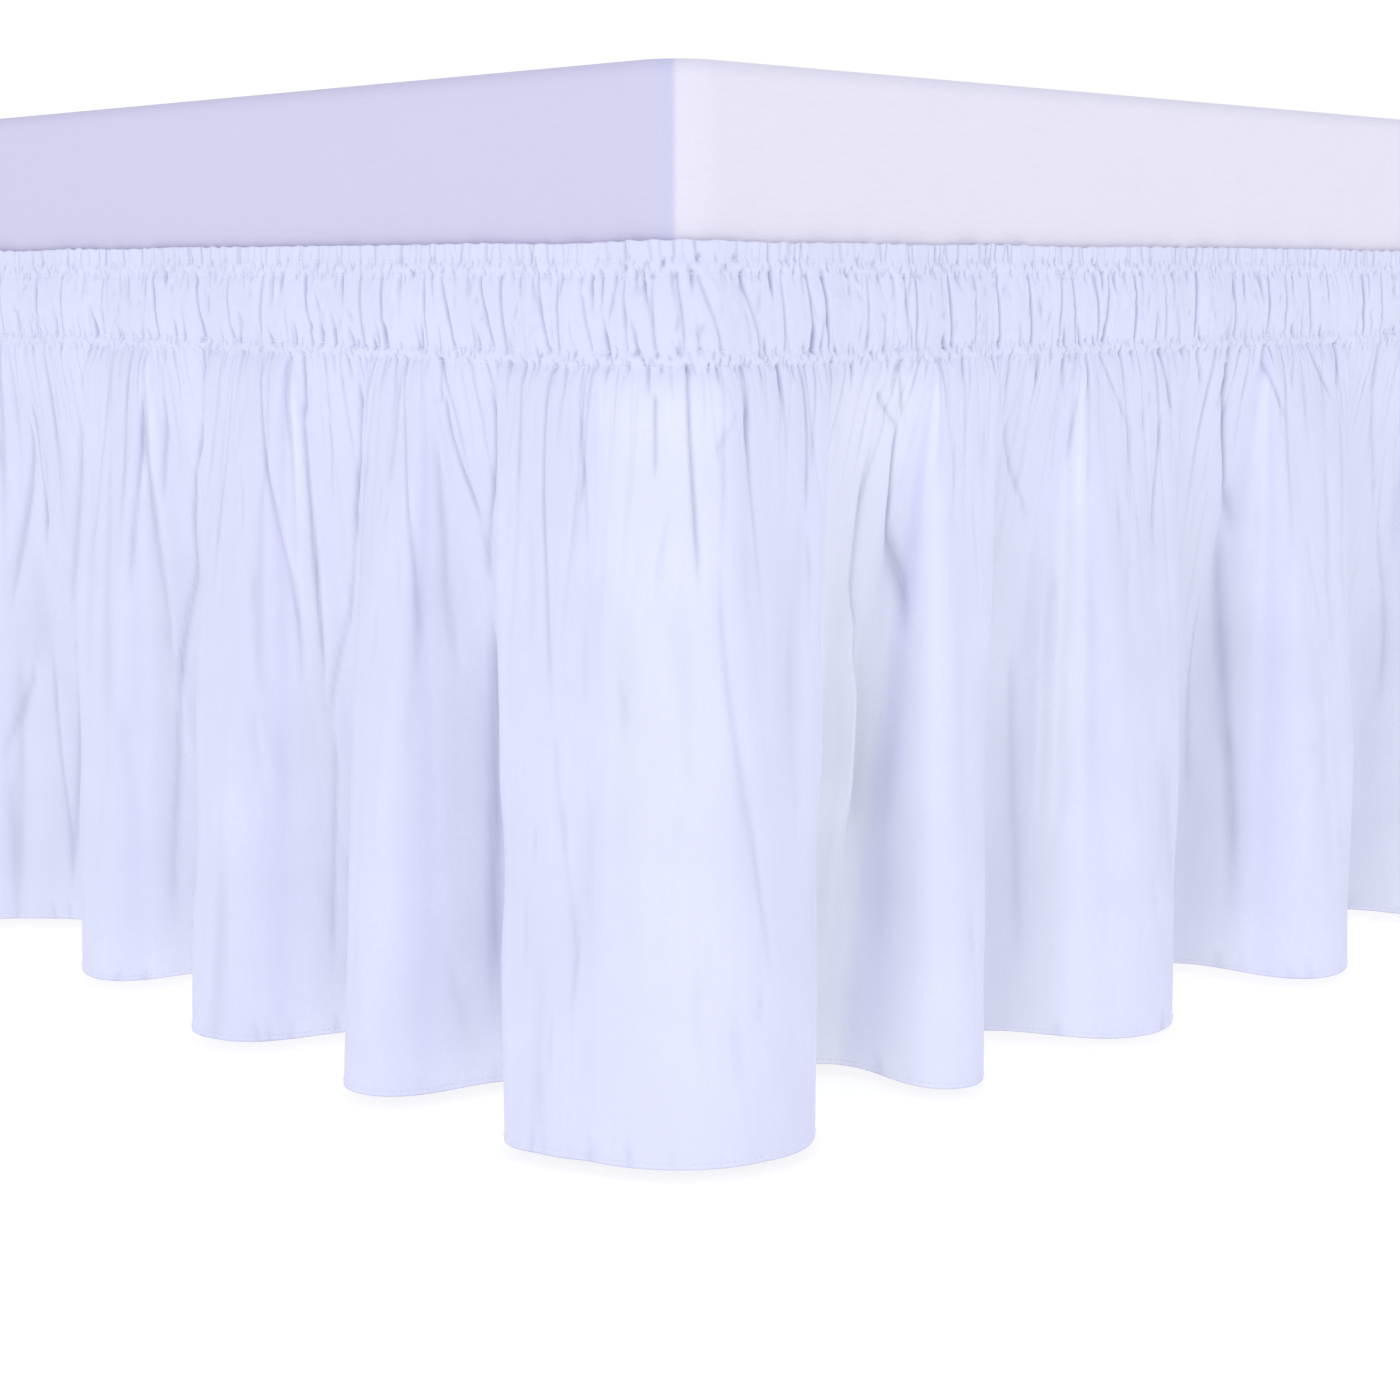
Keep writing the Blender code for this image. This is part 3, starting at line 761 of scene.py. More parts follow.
# Waves round the ring: how large together, the fewest and most of them, and how many mixed
Wave = namedtuple("Wave", "size slowest fastest count")
SWELL = Wave(0.16, 50, 260, 9)          # share by which the heading stands out more or less
LEVEL = Wave(0.0005, 12, 60, 6)         # the channels rise and fall
EDGE = Wave(0.0004, 300, 900, 8)        # and the ruffle's edge
WAVE_SEED = 5
SETTLE = 0.06                           # the rise and fall fades out this far down the drop


def waves(rng, head, wave):
    """An even mix of waves round the ring."""
    total = np.zeros(len(head))
    for _ in range(wave.count):
        laps = rng.randint(wave.slowest, wave.fastest)
        total += np.sin(2 * np.pi * laps * head / PERIMETER + rng.uniform(0, 2 * np.pi))
    return wave.size * (total / wave.count ** 0.5 / 1.4)


class Columns:
    """Every mesh column: its flank, its share of it, its place at the channel, its waves."""

    def __init__(self, flanks):
        lengths = np.diff(flanks.head)
        middle = (flanks.head[1:] + flanks.head[:-1]) / 2
        front = (middle > CUTS[1] - 0.01) & (middle < CUTS[4] + 0.01)
        spacing = np.where(front, FRONT_COLUMN, BACK_COLUMN)
        counts = 2 * np.maximum(4, np.rint(lengths / spacing / 2).astype(int))
        self.start = np.concatenate(([0], np.cumsum(counts)))
        self.flank = np.repeat(np.arange(len(counts)), counts)
        self.share = (np.arange(counts.sum()) - self.start[self.flank]) / counts[self.flank]
        self.head = flanks.head[self.flank] + lengths[self.flank] * self.share
        rng = random.Random(WAVE_SEED)
        self.swell, self.level, self.edge = (waves(rng, self.head, wave)
                                             for wave in (SWELL, LEVEL, EDGE))


BAND_PROFILE = (                # height, and how far the cloth stands off the box there
    (LOWER_SEAM_2, 0.0034), (0.3618, 0.0039), (LOWER_SEAM, 0.0035), (0.3690, 0.0041),
    (0.3755, 0.0046), (0.3820, 0.0048), (0.3890, 0.0046), (0.3945, 0.0040),
    (UPPER_SEAM_2, 0.0033), (0.4011, 0.0036), (UPPER_SEAM, 0.0032), (RUFFLE_TOP, 0.0033),
)


def band_grid(flanks, columns, heights, lines):
    """Points of the heading, with its ruffle and channels, and of the first of the drop."""
    field = relief(lines, heights, columns.head)
    known, outs = np.array(BAND_PROFILE).T
    rows = []
    for height, push in zip(heights, field):
        if height >= LOWER_SEAM_2:
            path = columns.head
            out = np.interp(height, known, outs) * (1.0 + columns.swell)
        else:
            path, out, _ = drop_shape(flanks, columns, height)
        out = np.maximum(out - push, LEAST_OUT + (LAYER if height > UPPER_SEAM else 0.0))
        above = smooth((height - UPPER_SEAM) / (RUFFLE_TOP - UPPER_SEAM))
        raised = columns.level + columns.edge * above
        rows.append(np.column_stack((plan(path, out), height + raised)))
    # how much shade is painted into the heading's creases
    hollow = hollows(field, columns.head)
    flat = np.zeros_like(hollow)
    return np.array(rows), np.stack((hollow, flat, flat), axis=-1)


def growth(height):
    """How far the folds have grown at a height of the drop, from 0 to 1 at the hem."""
    return ((LOWER_SEAM_2 - height) / DROP) ** GROWTH


def drop_shape(flanks, columns, height):
    """Path and reach of the main folds at a height of the drop, and their reach at the hem."""
    depth = LOWER_SEAM_2 - height
    share = growth(height)
    path, out = flanks.row(columns.flank, columns.share, share)
    puff = PUFF * depth / PUFF_DEPTH * math.exp(1 - depth / PUFF_DEPTH)
    return path, out + (BAND_PROFILE[0][1] + puff) * (1 - share), out / max(share, 1e-6)


def grid_normals(grid):
    """Outward normals of a closed ring of rows."""
    across = np.roll(grid, -1, axis=1) - np.roll(grid, 1, axis=1)
    down = np.gradient(grid, axis=0)
    normals = np.cross(down, across)
    return normals / np.maximum(np.linalg.norm(normals, axis=2, keepdims=True), 1e-12)


def drop_grid(flanks, columns, heights, lines):
    """Points of the drop: its main folds, pressed in along their normals by the lines."""
    rows, room, light = [], [], []
    field = relief(lines, heights, columns.head)
    for height, push in zip(heights, field):
        path, out, fold = drop_shape(flanks, columns, height)
        light.append(fold_light(fold, growth(height), columns.head))
        settle = columns.level * smooth(1 - (LOWER_SEAM_2 - height) / SETTLE)
        rows.append(np.column_stack((plan(path, out), height + settle)))
        room.append(out - LEAST_OUT if height > WALL_END else np.full(len(out), 1.0))
    grid = np.array(rows)
    push = np.minimum(field, np.maximum(room, 0.0))
    normals = grid_normals(grid)
    lit, valley_shading = np.array(light).swapaxes(0, 1)
    shades = np.stack((hollows(push, columns.head), lit, valley_shading), axis=-1)
    return grid - normals * push[..., None], shades


def turned_in(grid, inside, rise):
    """The rows of an edge turned in: first the edge's own, rise metres on, then the rest."""
    normals = grid_normals(grid)
    layer = grid - normals * inside
    fold = grid[:1] - normals[:1] * inside / 2 + np.array([0.0, 0.0, rise])
    return np.concatenate((fold, layer))


class Cloth:
    """The whole ring of cloth as one grid, whose lower rows keep every other column only."""

    def __init__(self, flanks, lines):
        columns = Columns(flanks)
        self.start = columns.start
        band, band_shades = band_grid(flanks, columns, BAND_Z, lines)
        drop, drop_shades = drop_grid(flanks, columns, DROP_Z, lines)
        top_turn = turned_in(band[:TOP_ROWS], LAYER, 0.0)[::-1]
        hem_turn = turned_in(drop[:-HEM_ROWS - 1:-1], -LAYER, -HEM_DIP)
        self.points = np.concatenate((top_turn, band, drop, hem_turn))
        self.normals = grid_normals(self.points)
        self.heights = np.concatenate((top_turn[:, 0, 2], BAND_Z, DROP_Z, hem_turn[:, 0, 2]))
        self.first, self.fine = len(top_turn), len(top_turn) + len(BAND_Z) + len(GATHER_Z)
        self.shades = np.pad(np.concatenate((band_shades, drop_shades)),
                             ((len(top_turn), len(hem_turn)), (0, 0), (0, 0)), mode="edge")
        # painted shade along the hem's very edge and the rows turned in behind it
        self.shades[-len(hem_turn) - 1:, :, 0] = EDGE_SHADE
        heights = self.points[..., 2]
        self.places = np.stack((np.broadcast_to(columns.head, heights.shape), heights,
                                np.zeros_like(heights)), axis=-1)

    def seam(self, height):
        """Points and normals along the row of the ring nearest to a height."""
        low, high = self.first, self.first + len(BAND_Z) + len(DROP_Z)
        row = low + int(np.argmin(np.abs(self.heights[low:high] - height)))
        return self.points[row], self.normals[row]

    def cut(self, start, end):
        """Points, normals, faces, places and shades between two columns."""
        points, normals, places, shades, faces = [], [], [], [], []
        base = 0
        above = None
        for zone, step in ((slice(None, self.fine), 1), (slice(self.fine, None), 2)):
            picks = np.arange(start, end + 1, step)
            laps, around = np.divmod(picks, self.points.shape[1])
            part = self.points[zone][:, around]
            rows, columns = part.shape[:2]
            index = base + np.arange(rows * columns).reshape(rows, columns)
            points.append(part.reshape(-1, 3))
            normals.append(self.normals[zone][:, around].reshape(-1, 3))
            place = self.places[zone][:, around]
            place[..., 0] += laps * PERIMETER
            places.append(place.reshape(-1, 3))
            shades.append(self.shades[zone][:, around].reshape(-1, 3))
            if above is not None:
                faces += split_row(above, index[0])
            faces.append(np.stack((index[:-1, :-1], index[1:, :-1], index[1:, 1:],
                                   index[:-1, 1:]), axis=-1).reshape(-1, 4))
            above = index[-1]
            base += rows * columns
        points, normals, places, shades = (np.concatenate(parts) for parts in
                                           (points, normals, places, shades))
        return points, normals, faces, places, shades


def split_row(fine, coarse):
    """Faces between a row and one with half its columns below."""
    left, middle, right = fine[:-1:2], fine[1::2], fine[2::2]
    return [np.stack((left, coarse[:-1], middle), axis=-1),
            np.stack((middle, coarse[:-1], coarse[1:], right), axis=-1)]


def grid_mesh(name, points, faces):
    """A mesh from arrays of points and of faces, each array with its own number of corners."""
    mesh = bpy.data.meshes.new(name)
    mesh.vertices.add(len(points))
    mesh.vertices.foreach_set("co", np.asarray(points, np.float32).ravel())
    corners = np.concatenate([part.ravel() for part in faces]).astype(np.int32)
    sizes = np.concatenate([np.full(len(part), part.shape[1], np.int32) for part in faces])
    mesh.loops.add(len(corners))
    mesh.loops.foreach_set("vertex_index", corners)
    mesh.polygons.add(len(sizes))
    starts = (np.cumsum(sizes) - sizes).astype(np.int32)
    mesh.polygons.foreach_set("loop_start", starts)
    mesh.update(calc_edges=True)
    mesh.validate()
    mesh.shade_smooth()
    return mesh


def put(name, mesh, finish, node=None):
    """An object of the scene from a mesh: it rides with the bed and may stand for a node."""
    obj = bpy.data.objects.new(name, mesh)
    bpy.context.scene.collection.objects.link(obj)
    mesh.materials.append(finish)
    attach(obj, "root")
    if node:
        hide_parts(node)
    return obj


# ---------------------------------------------------------------- stitches

SEAM_STITCH = 0.0030            # from one stitch to the next along the cloth
SEAM_THREAD = 0.00042           # radius of the thread
HEM_STITCH_PITCH = 0.0032
HEM_THREAD = 0.00042
STITCH_FILL = 0.60              # the part of a stitch's pitch that its thread lies on top
BEAD_RISE, BEAD_SPREAD = 1.6, 1.2       # a bead's height and half width, in thread radii


def stitch_line(points, normals, pitch, radius):
    """Threads along a closed line: each a slim pointed bead that lies half in the cloth."""
    points = np.concatenate((points, points[:1]))
    normals = np.concatenate((normals, normals[:1]))
    length = np.concatenate(([0.0], np.cumsum(np.linalg.norm(np.diff(points, axis=0), axis=1))))
    starts = np.arange(0.0, length[-1] - pitch, pitch)

    def at(values, where):
        return np.stack([np.interp(where, length, values[:, k]) for k in range(3)], axis=-1)

    first, last = at(points, starts), at(points, starts + pitch * STITCH_FILL)
    middle = starts + pitch * STITCH_FILL / 2
    centre, facing = at(points, middle), at(normals, middle)
    along = last - first
    along /= np.linalg.norm(along, axis=1, keepdims=True)
    side = np.cross(facing, along)
    side /= np.linalg.norm(side, axis=1, keepdims=True)
    facing = np.cross(along, side)
    beads = np.stack((first, last, centre + facing * radius * BEAD_RISE,
                      centre + side * radius * BEAD_SPREAD,
                      centre - side * radius * BEAD_SPREAD), axis=1)
    corners = np.array([(0, 3, 2), (1, 2, 3), (0, 2, 4), (1, 4, 2)])
    index = np.arange(len(beads))[:, None, None] * 5
    return beads.reshape(-1, 3), (index + corners).reshape(-1, 3)


def stitch_mesh(name, lines):
    """One mesh of several lines of stitches."""
    points, faces = [], []
    base = 0
    for line_points, line_faces in lines:
        points.append(line_points)
        faces.append(line_faces + base)
        base += len(line_points)
    return grid_mesh(name, np.concatenate(points), faces)


# ---------------------------------------------------------------- materials

class Wire:
    """A socket of a shader, so that shader maths is written as an expression."""

    def __init__(self, finish, socket):
        self.finish = finish
        self.socket = socket

    def math(self, operation, *values):
        return self.finish.node("ShaderNodeMath", {"operation": operation},
                                dict(enumerate(values)))

    def __add__(self, other):
        return self.math("ADD", self, other)

    def __sub__(self, other):
        return self.math("SUBTRACT", self, other)

    def __mul__(self, other):
        return self.math("MULTIPLY", self, other)

    def __rsub__(self, other):
        return self.math("SUBTRACT", other, self)

    def __abs__(self):
        return self.math("ABSOLUTE", self)

    def sine(self):
        return self.math("SINE", self)

    __radd__ = __add__
    __rmul__ = __mul__


class Finish:
    """A material made from a Principled shader and the nodes that feed it."""

    def __init__(self, name, **uniform):
        self.material = bpy.data.materials.new(name)
        self.material.use_nodes = True
        self.nodes = self.material.node_tree.nodes
        self.links = self.material.node_tree.links
        self.shader = self.nodes["Principled BSDF"]
        for label, value in uniform.items():
            self.feed(self.shader.inputs[label.replace("_", " ").title()], value)

    def feed(self, socket, value):
        if isinstance(value, Wire):
            self.links.new(value.socket, socket)
        else:
            socket.default_value = value

    def node(self, kind, settings=None, values=None, output=0):
        """A node of any kind: its settings first, then the values or wires of its sockets."""
        node = self.nodes.new(kind)
        for name, value in (settings or {}).items():
            setattr(node, name, value)
        for name, value in (values or {}).items():
            self.feed(node.inputs[name], value)
        return Wire(self, node.outputs[output])

    def mix(self, factor, first, second):
        """A colour between two."""
        return self.node("ShaderNodeMix", {"data_type": "RGBA"},
                         {0: factor, 6: first, 7: second}, output=2)

    def parts(self, vector):
        """The three parts of a vector."""
        split = self.node("ShaderNodeSeparateXYZ", {}, {0: vector}).socket.node
        return [Wire(self, socket) for socket in split.outputs]

    def step_between(self, wire, low, high):
        """0 below low, 1 above high, and smooth between them."""
        return self.node("ShaderNodeMapRange", {"interpolation_type": "SMOOTHSTEP"},
                         {0: wire, 1: low, 2: high, 3: 0.0, 4: 1.0})

    def noise(self, vector, scale, detail=2.0, roughness=0.5):
        return self.node("ShaderNodeTexNoise", {"noise_dimensions": "3D"},
                         {"Vector": vector, "Scale": scale, "Detail": detail,
                          "Roughness": roughness})

    def scaled(self, vector, factors):
        return self.node("ShaderNodeVectorMath", {"operation": "MULTIPLY"},
                         {0: vector, 1: factors})

    def tint(self, colour, shade):
        """A colour times another."""
        return self.node("ShaderNodeMix", {"data_type": "RGBA", "blend_type": "MULTIPLY"},
                         {0: 1.0, 6: colour, 7: (*shade, 1.0)}, output=2)

    def bump(self, height, distance, strength):
        wire = self.node("ShaderNodeBump", {}, {"Height": height, "Distance": distance,
                                                "Strength": strength})
        self.links.new(wire.socket, self.shader.inputs["Normal"])

    def colour(self, wire):
        self.links.new(wire.socket, self.shader.inputs["Base Color"])

    def roughness(self, wire):
        self.links.new(wire.socket, self.shader.inputs["Roughness"])


def shade_of(colour, factor):
    """A colour made lighter or darker."""
    return (*(channel * factor for channel in colour[:3]), 1.0)


CLOTH_PLACE = "cloth_place"     # each point's place along the strip and its height
FOLD_LIGHT = "fold_light"       # shade painted in hollows, light on flanks, shade in valleys
YARN = 0.00045                  # spacing of the weave's yarns
STREAK = (300.0, 30.0, 0.0)     # brushed streaks: fine along the strip, long down it
SLUB = (1100.0, 420.0, 0.0)     # uneven yarns
MOTTLE = (18.0, 14.0, 0.0)
HOLLOW_SHADE = (0.655, 0.68, 0.72)      # painted shade: a full hollow's share of the colour,
LIT_SHADE = (1.135, 1.135, 1.05)        # painted light: what it makes of a flank's colour,
VALLEY_SHADE = (0.98, 0.98, 0.957)      # and the painted shade of a valley's bottom
PLY = (900.0, 900.0, 2600.0)            # the thread's twist
TICKING_SLUB = (120.0, 120.0, 900.0)    # the box fabric's uneven yarns
SPECKLE = (0.55, 0.56, 0.68, 1.0)       # and the colour of its flecks
WOOD_GRAIN = (90.0, 90.0, 5.0)
WOOD_PORES = (700.0, 700.0, 30.0)
TOP_FROM = (0.012, 0.028)               # so far in from the ends there is only the box's top
PANEL_MEET = (-0.002, 0.005)            # where an end panel's painted shade starts, past the corner
CORNER_IN, CORNER_OUT = (0.000, 0.005), (0.005, 0.017)      # and the corner's painted shade band


def cloth_finish(colour, roughness):
    """Brushed pale weave, with shade painted in its hollows and valleys, light on its flanks."""
    finish = Finish("cloth", base_color=(*colour, 1.0), roughness=roughness,
                    sheen_weight=0.12, sheen_roughness=0.45)
    place = finish.node("ShaderNodeAttribute", {"attribute_name": CLOTH_PLACE}, output=1)
    along, height, _ = finish.parts(place)
    light = finish.node("ShaderNodeAttribute", {"attribute_name": FOLD_LIGHT}, output=1)
    hollow, lit, valley_shading = finish.parts(light)
    turns = 2 * math.pi / YARN
    weave = (along * turns).sine() * (height * turns).sine()
    streaks = finish.noise(finish.scaled(place, STREAK), 1.0, detail=3.0)
    mottle = finish.noise(finish.scaled(place, MOTTLE), 1.0, detail=3.0)
    slubs = finish.noise(finish.scaled(place, SLUB), 1.0, detail=2.0)
    patches = finish.mix(finish.step_between(mottle, 0.30, 0.70), shade_of(colour, 0.965),
                         shade_of(colour, 1.020))
    brushed = finish.mix(finish.step_between(streaks, 0.35, 0.70) * 0.35, patches,
                         shade_of(colour, 0.955))
    yarns = finish.mix(finish.step_between(slubs, 0.30, 0.70) * 0.5, brushed,
                       shade_of(colour, 0.960))
    shade = yarns
    # the painted light of the flanks, then the painted shade of the valleys and of the hollows
    for amount, share in ((lit, LIT_SHADE), (valley_shading, VALLEY_SHADE), (hollow, HOLLOW_SHADE)):
        shade = finish.mix(amount, shade, finish.tint(shade, share))
    finish.colour(shade)
    finish.roughness(finish.step_between(streaks, 0.2, 0.8) * 0.10 + (roughness - 0.05))
    finish.bump(streaks * 0.25 + slubs * 0.4 + weave * 0.12 + mottle * 0.8, 0.0003, 0.8)
    return finish.material


def thread_finish(colour):
    """Twisted sewing thread."""
    finish = Finish("thread", base_color=(*colour, 1.0), roughness=0.55, sheen_weight=0.1)
    place = finish.node("ShaderNodeNewGeometry", {}, {})
    ply = finish.noise(finish.scaled(place, PLY), 1.0)
    finish.colour(finish.mix(ply, shade_of(colour, 0.94), shade_of(colour, 1.03)))
    finish.bump(ply, 0.0001, 0.5)
    return finish.material


def ticking_finish(end_shade_colour, side_colour, corner_shade_colour):
    """Box fabric: shade painted on the foot and head panels, and in a band where they blend."""
    finish = Finish("ticking", roughness=0.85, sheen_weight=0.15)
    geometry = finish.node("ShaderNodeNewGeometry", {}, {})
    position = Wire(finish, geometry.socket.node.outputs["Position"])
    across, along, _ = finish.parts(position)
    to_side = BOX_WIDTH / 2 - abs(across)
    to_end = BOX_LENGTH / 2 - abs(along)
    past = to_side - to_end     # how far on the end panel's side of the corner
    upright = 1.0 - finish.step_between(to_end, *TOP_FROM)      # 0 on the top, off its rim
    # painted shade: the foot and head panels darker than the sides and top
    panels = finish.mix(finish.step_between(past, *PANEL_MEET) * upright,
                        (*side_colour, 1.0), (*end_shade_colour, 1.0))
    # painted shade in a band just past each upright corner
    near = finish.step_between(past, *CORNER_IN) - finish.step_between(past, *CORNER_OUT)
    shaded_panels = finish.mix(near * upright, panels, (*corner_shade_colour, 1.0))
    grain = finish.noise(position, 1500.0, detail=2.0)
    slubs = finish.noise(finish.scaled(position, TICKING_SLUB), 1.0, detail=2.0)
    cloudy = finish.noise(position, 22.0, detail=3.0)
    speckle = finish.step_between(slubs, 0.35, 0.75) * 0.05 + finish.step_between(
        cloudy, 0.3, 0.7) * 0.03
    finish.colour(finish.mix(speckle, shaded_panels, SPECKLE))
    finish.bump(grain * 0.5 + slubs * 0.5, 0.0004, 0.6)
    return finish.material


def wood_finish(colour):
    """Varnished wood with its grain upright."""
    finish = Finish("leg_wood", roughness=0.42, coat_weight=0.15)
    geometry = finish.node("ShaderNodeNewGeometry", {}, {})
    grain = finish.noise(finish.scaled(geometry, WOOD_GRAIN), 1.0, detail=6.0,
                         roughness=0.65)
    pores = finish.noise(finish.scaled(geometry, WOOD_PORES), 1.0, detail=2.0)
    tone = finish.mix(finish.step_between(grain, 0.35, 0.68), (*colour, 1.0),
                      shade_of(colour, 0.55))
    finish.colour(finish.mix(finish.step_between(pores, 0.55, 0.75) * 0.5, tone,
                             shade_of(colour, 0.35)))
    finish.roughness(grain * 0.25 + 0.30)
    finish.bump(pores, 0.0003, 0.4)
    return finish.material


# ---------------------------------------------------------------- box spring

EDGE_STEPS = 6                  # faces round the box's top and bottom edges,
CORNER_STEPS = 10               # round each upright corner
SIDE_STEPS = 12                 # and up its sides


def rounded_plan(inside):
    """Corners of the box's outline, each upright corner an arc, moved in by inside."""
    points = []
    for centre, start in zip(CENTRES, (-90, 0, 90, 180)):
        for step in range(CORNER_STEPS + 1):
            angle = math.radians(start + 90 * step / CORNER_STEPS)
            reach = CORNER_RADIUS - inside
            points.append((centre[0] + reach * math.cos(angle),
                           centre[1] + reach * math.sin(angle)))
    return points


def box_spring_mesh():
    """An upholstered box with softly rounded edges, closed top and bottom."""
    bm = bmesh.new()
    profile = []
    for step in range(EDGE_STEPS + 1):
        angle = math.pi / 2 * step / EDGE_STEPS
        profile.append((EDGE_RADIUS * (1 - math.sin(angle)), BOX_LOW.z
                        + EDGE_RADIUS * (1 - math.cos(angle))))
    tall = BOX_HIGH.z - BOX_LOW.z - 2 * EDGE_RADIUS
    for step in range(1, SIDE_STEPS):
        profile.append((0.0, BOX_LOW.z + EDGE_RADIUS + tall * step / SIDE_STEPS))
    for inside, height in [(i, BOX_HIGH.z - (h - BOX_LOW.z)) for i, h in
                           reversed(profile[:EDGE_STEPS + 1])]:
        profile.append((inside, height))
    rings = []
    for inside, height in profile:
        rings.append([bm.verts.new((x, y, height)) for x, y in rounded_plan(inside)])
    for lower, upper in zip(rings, rings[1:]):
        for index in range(len(lower)):
            after = (index + 1) % len(lower)
            bm.faces.new((lower[index], lower[after], upper[after], upper[index]))
    bm.faces.new(reversed(rings[0]))
    bm.faces.new(rings[-1])
    mesh = bpy.data.meshes.new("box_spring_cover")
    bm.to_mesh(mesh)
    bm.free()
    mesh.shade_smooth()
    return mesh


# ---------------------------------------------------------------- settings

class SkirtSettings(bpy.types.PropertyGroup):
    """Sizes and colours of the bed skirt."""

    cloth_colour: FloatVectorProperty(
        name="Cloth", description="Colour of the microfibre cloth and its hem",
        subtype="COLOR", size=3, min=0.0, max=1.0, default=(0.790, 0.805, 0.975))
    cloth_roughness: FloatProperty(
        name="Cloth roughness", description="How dull the cloth is",
        subtype="FACTOR", min=0.0, max=1.0, default=0.80)
    thread_colour: FloatVectorProperty(
        name="Thread", description="Colour of the stitching",
        subtype="COLOR", size=3, min=0.0, max=1.0, default=(0.85, 0.865, 1.0))
    crease_strength: FloatProperty(
        name="Crease strength", description="Depth of all creases against the usual",
        subtype="FACTOR", min=0.0, max=2.0, default=1.0)


class BedSettings(bpy.types.PropertyGroup):
    """Colours of the box spring, with its painted shades, and of its legs."""

    # painted shade: the end panels' colour as if less lit than the sides
    end_shade_colour: FloatVectorProperty(
        name="End panels", description="Colour of the box's fabric at its foot and head",
        subtype="COLOR", size=3, min=0.0, max=1.0, default=(0.673, 0.640, 0.813))
    side_colour: FloatVectorProperty(
        name="Side panels", description="Colour of the box's fabric on its sides and top",
        subtype="COLOR", size=3, min=0.0, max=1.0, default=(0.838, 0.808, 0.893))
    # painted shade of the band at the corners
    corner_shade_colour: FloatVectorProperty(
        name="Corners", description="Colour of the box's fabric where its panels meet",
        subtype="COLOR", size=3, min=0.0, max=1.0, default=(0.640, 0.640, 0.830))
    wood_colour: FloatVectorProperty(
        name="Legs", description="Colour of the wood of the legs",
        subtype="COLOR", size=3, min=0.0, max=1.0, default=(0.56, 0.40, 0.25))


class StageSettings(bpy.types.PropertyGroup):
    """Light and floor round the bed."""

    sky_strength: FloatProperty(
        name="Surrounding light", description="Strength of the even light from all sides",
        min=0.0, max=5.0, default=0.765)
    left_power: FloatProperty(
        name="Left lamp", description="Power of the large soft lamp by the foot",
        subtype="POWER", unit="POWER", min=0.0, default=28.0)
    right_power: FloatProperty(
        name="Right lamp", description="Power of the large soft lamp by the side",
        subtype="POWER", unit="POWER", min=0.0, default=16.0)
    floor_colour: FloatVectorProperty(
        name="Floor", description="Colour of the floor",
        subtype="COLOR", size=3, min=0.0, max=1.0, default=(0.32, 0.32, 0.32))


# ---------------------------------------------------------------- stage

FLOOR_SIZE = 30.0
FLOOR_GLOW = 0.76               # the floor shines a little, so that it stays pale under the bed
DOME_RADIUS = 40.0
WHITE, BLACK = (1.0, 1.0, 1.0, 1.0), (0.0, 0.0, 0.0, 1.0)
SKY_COLOUR = (0.885, 0.905, 1.0)  # daylight, a little blue
LAMP_SIZE = 1.8
LAMPS = (("lamp_left", "left_power", (1.5, -4.2, 1.7)),         # name, setting and place
         ("lamp_right", "right_power", (3.9, 0.8, 1.7)))
LAMP_AIM = (0.4, -0.8, 0.25)
CAMERA_LENS = 61.61
CAMERA_SENSOR = 36.0            # width, in millimetres as the lens is
CAMERA_HEADING = (-0.7136, 0.7005)
CAMERA_DISTANCE = 1.0228        # level, from the box's upright corner
CAMERA_ASIDE = -0.0100          # the corner stands this far left of the view's middle
CAMERA_HEIGHT = 0.3984
CAMERA_PITCH = 10.08            # degrees down


def stage_piece(name, bm, finish):
    """A surface round the bed that isn't part of it."""
    mesh = bpy.data.meshes.new(name)
    bm.to_mesh(mesh)
    bm.free()
    mesh.materials.append(finish.material)
    piece = bpy.data.objects.new(name, mesh)
    bpy.context.scene.collection.objects.link(piece)
    return piece


# ---------------------------------------------------------------- operators

STRIP_HEIGHT = RUFFLE_TOP - HEM_Z + HEM_TURN + TOP_TURN   # flat, before it is gathered
CLOTH_SEED = 3


def all_lines(low, high, strength):
    """Every crease and gather of the cloth, seeded in one order."""
    rng = random.Random(CLOTH_SEED)
    lines = []
    for make in (ruffle_lines, channel_lines, heading_lines, seam_lines):
        lines += make(rng, low, high)
    lines += placed_lines()
    for make in (long_lines, soft_lines, fine_lines, hem_lines, swell_lines):
        lines += make(rng, low, high)
    return [line._replace(deep=line.deep * strength) for line in lines]


def sheet_area(points, faces):
    """Area of a mesh of triangles and quads."""
    total = 0.0
    for part in faces:
        corner = points[part]
        for k in range(1, part.shape[1] - 1):
            sides = np.cross(corner[:, k] - corner[:, 0], corner[:, k + 1] - corner[:, 0])
            total += float(np.linalg.norm(sides, axis=1).sum()) / 2
    return total


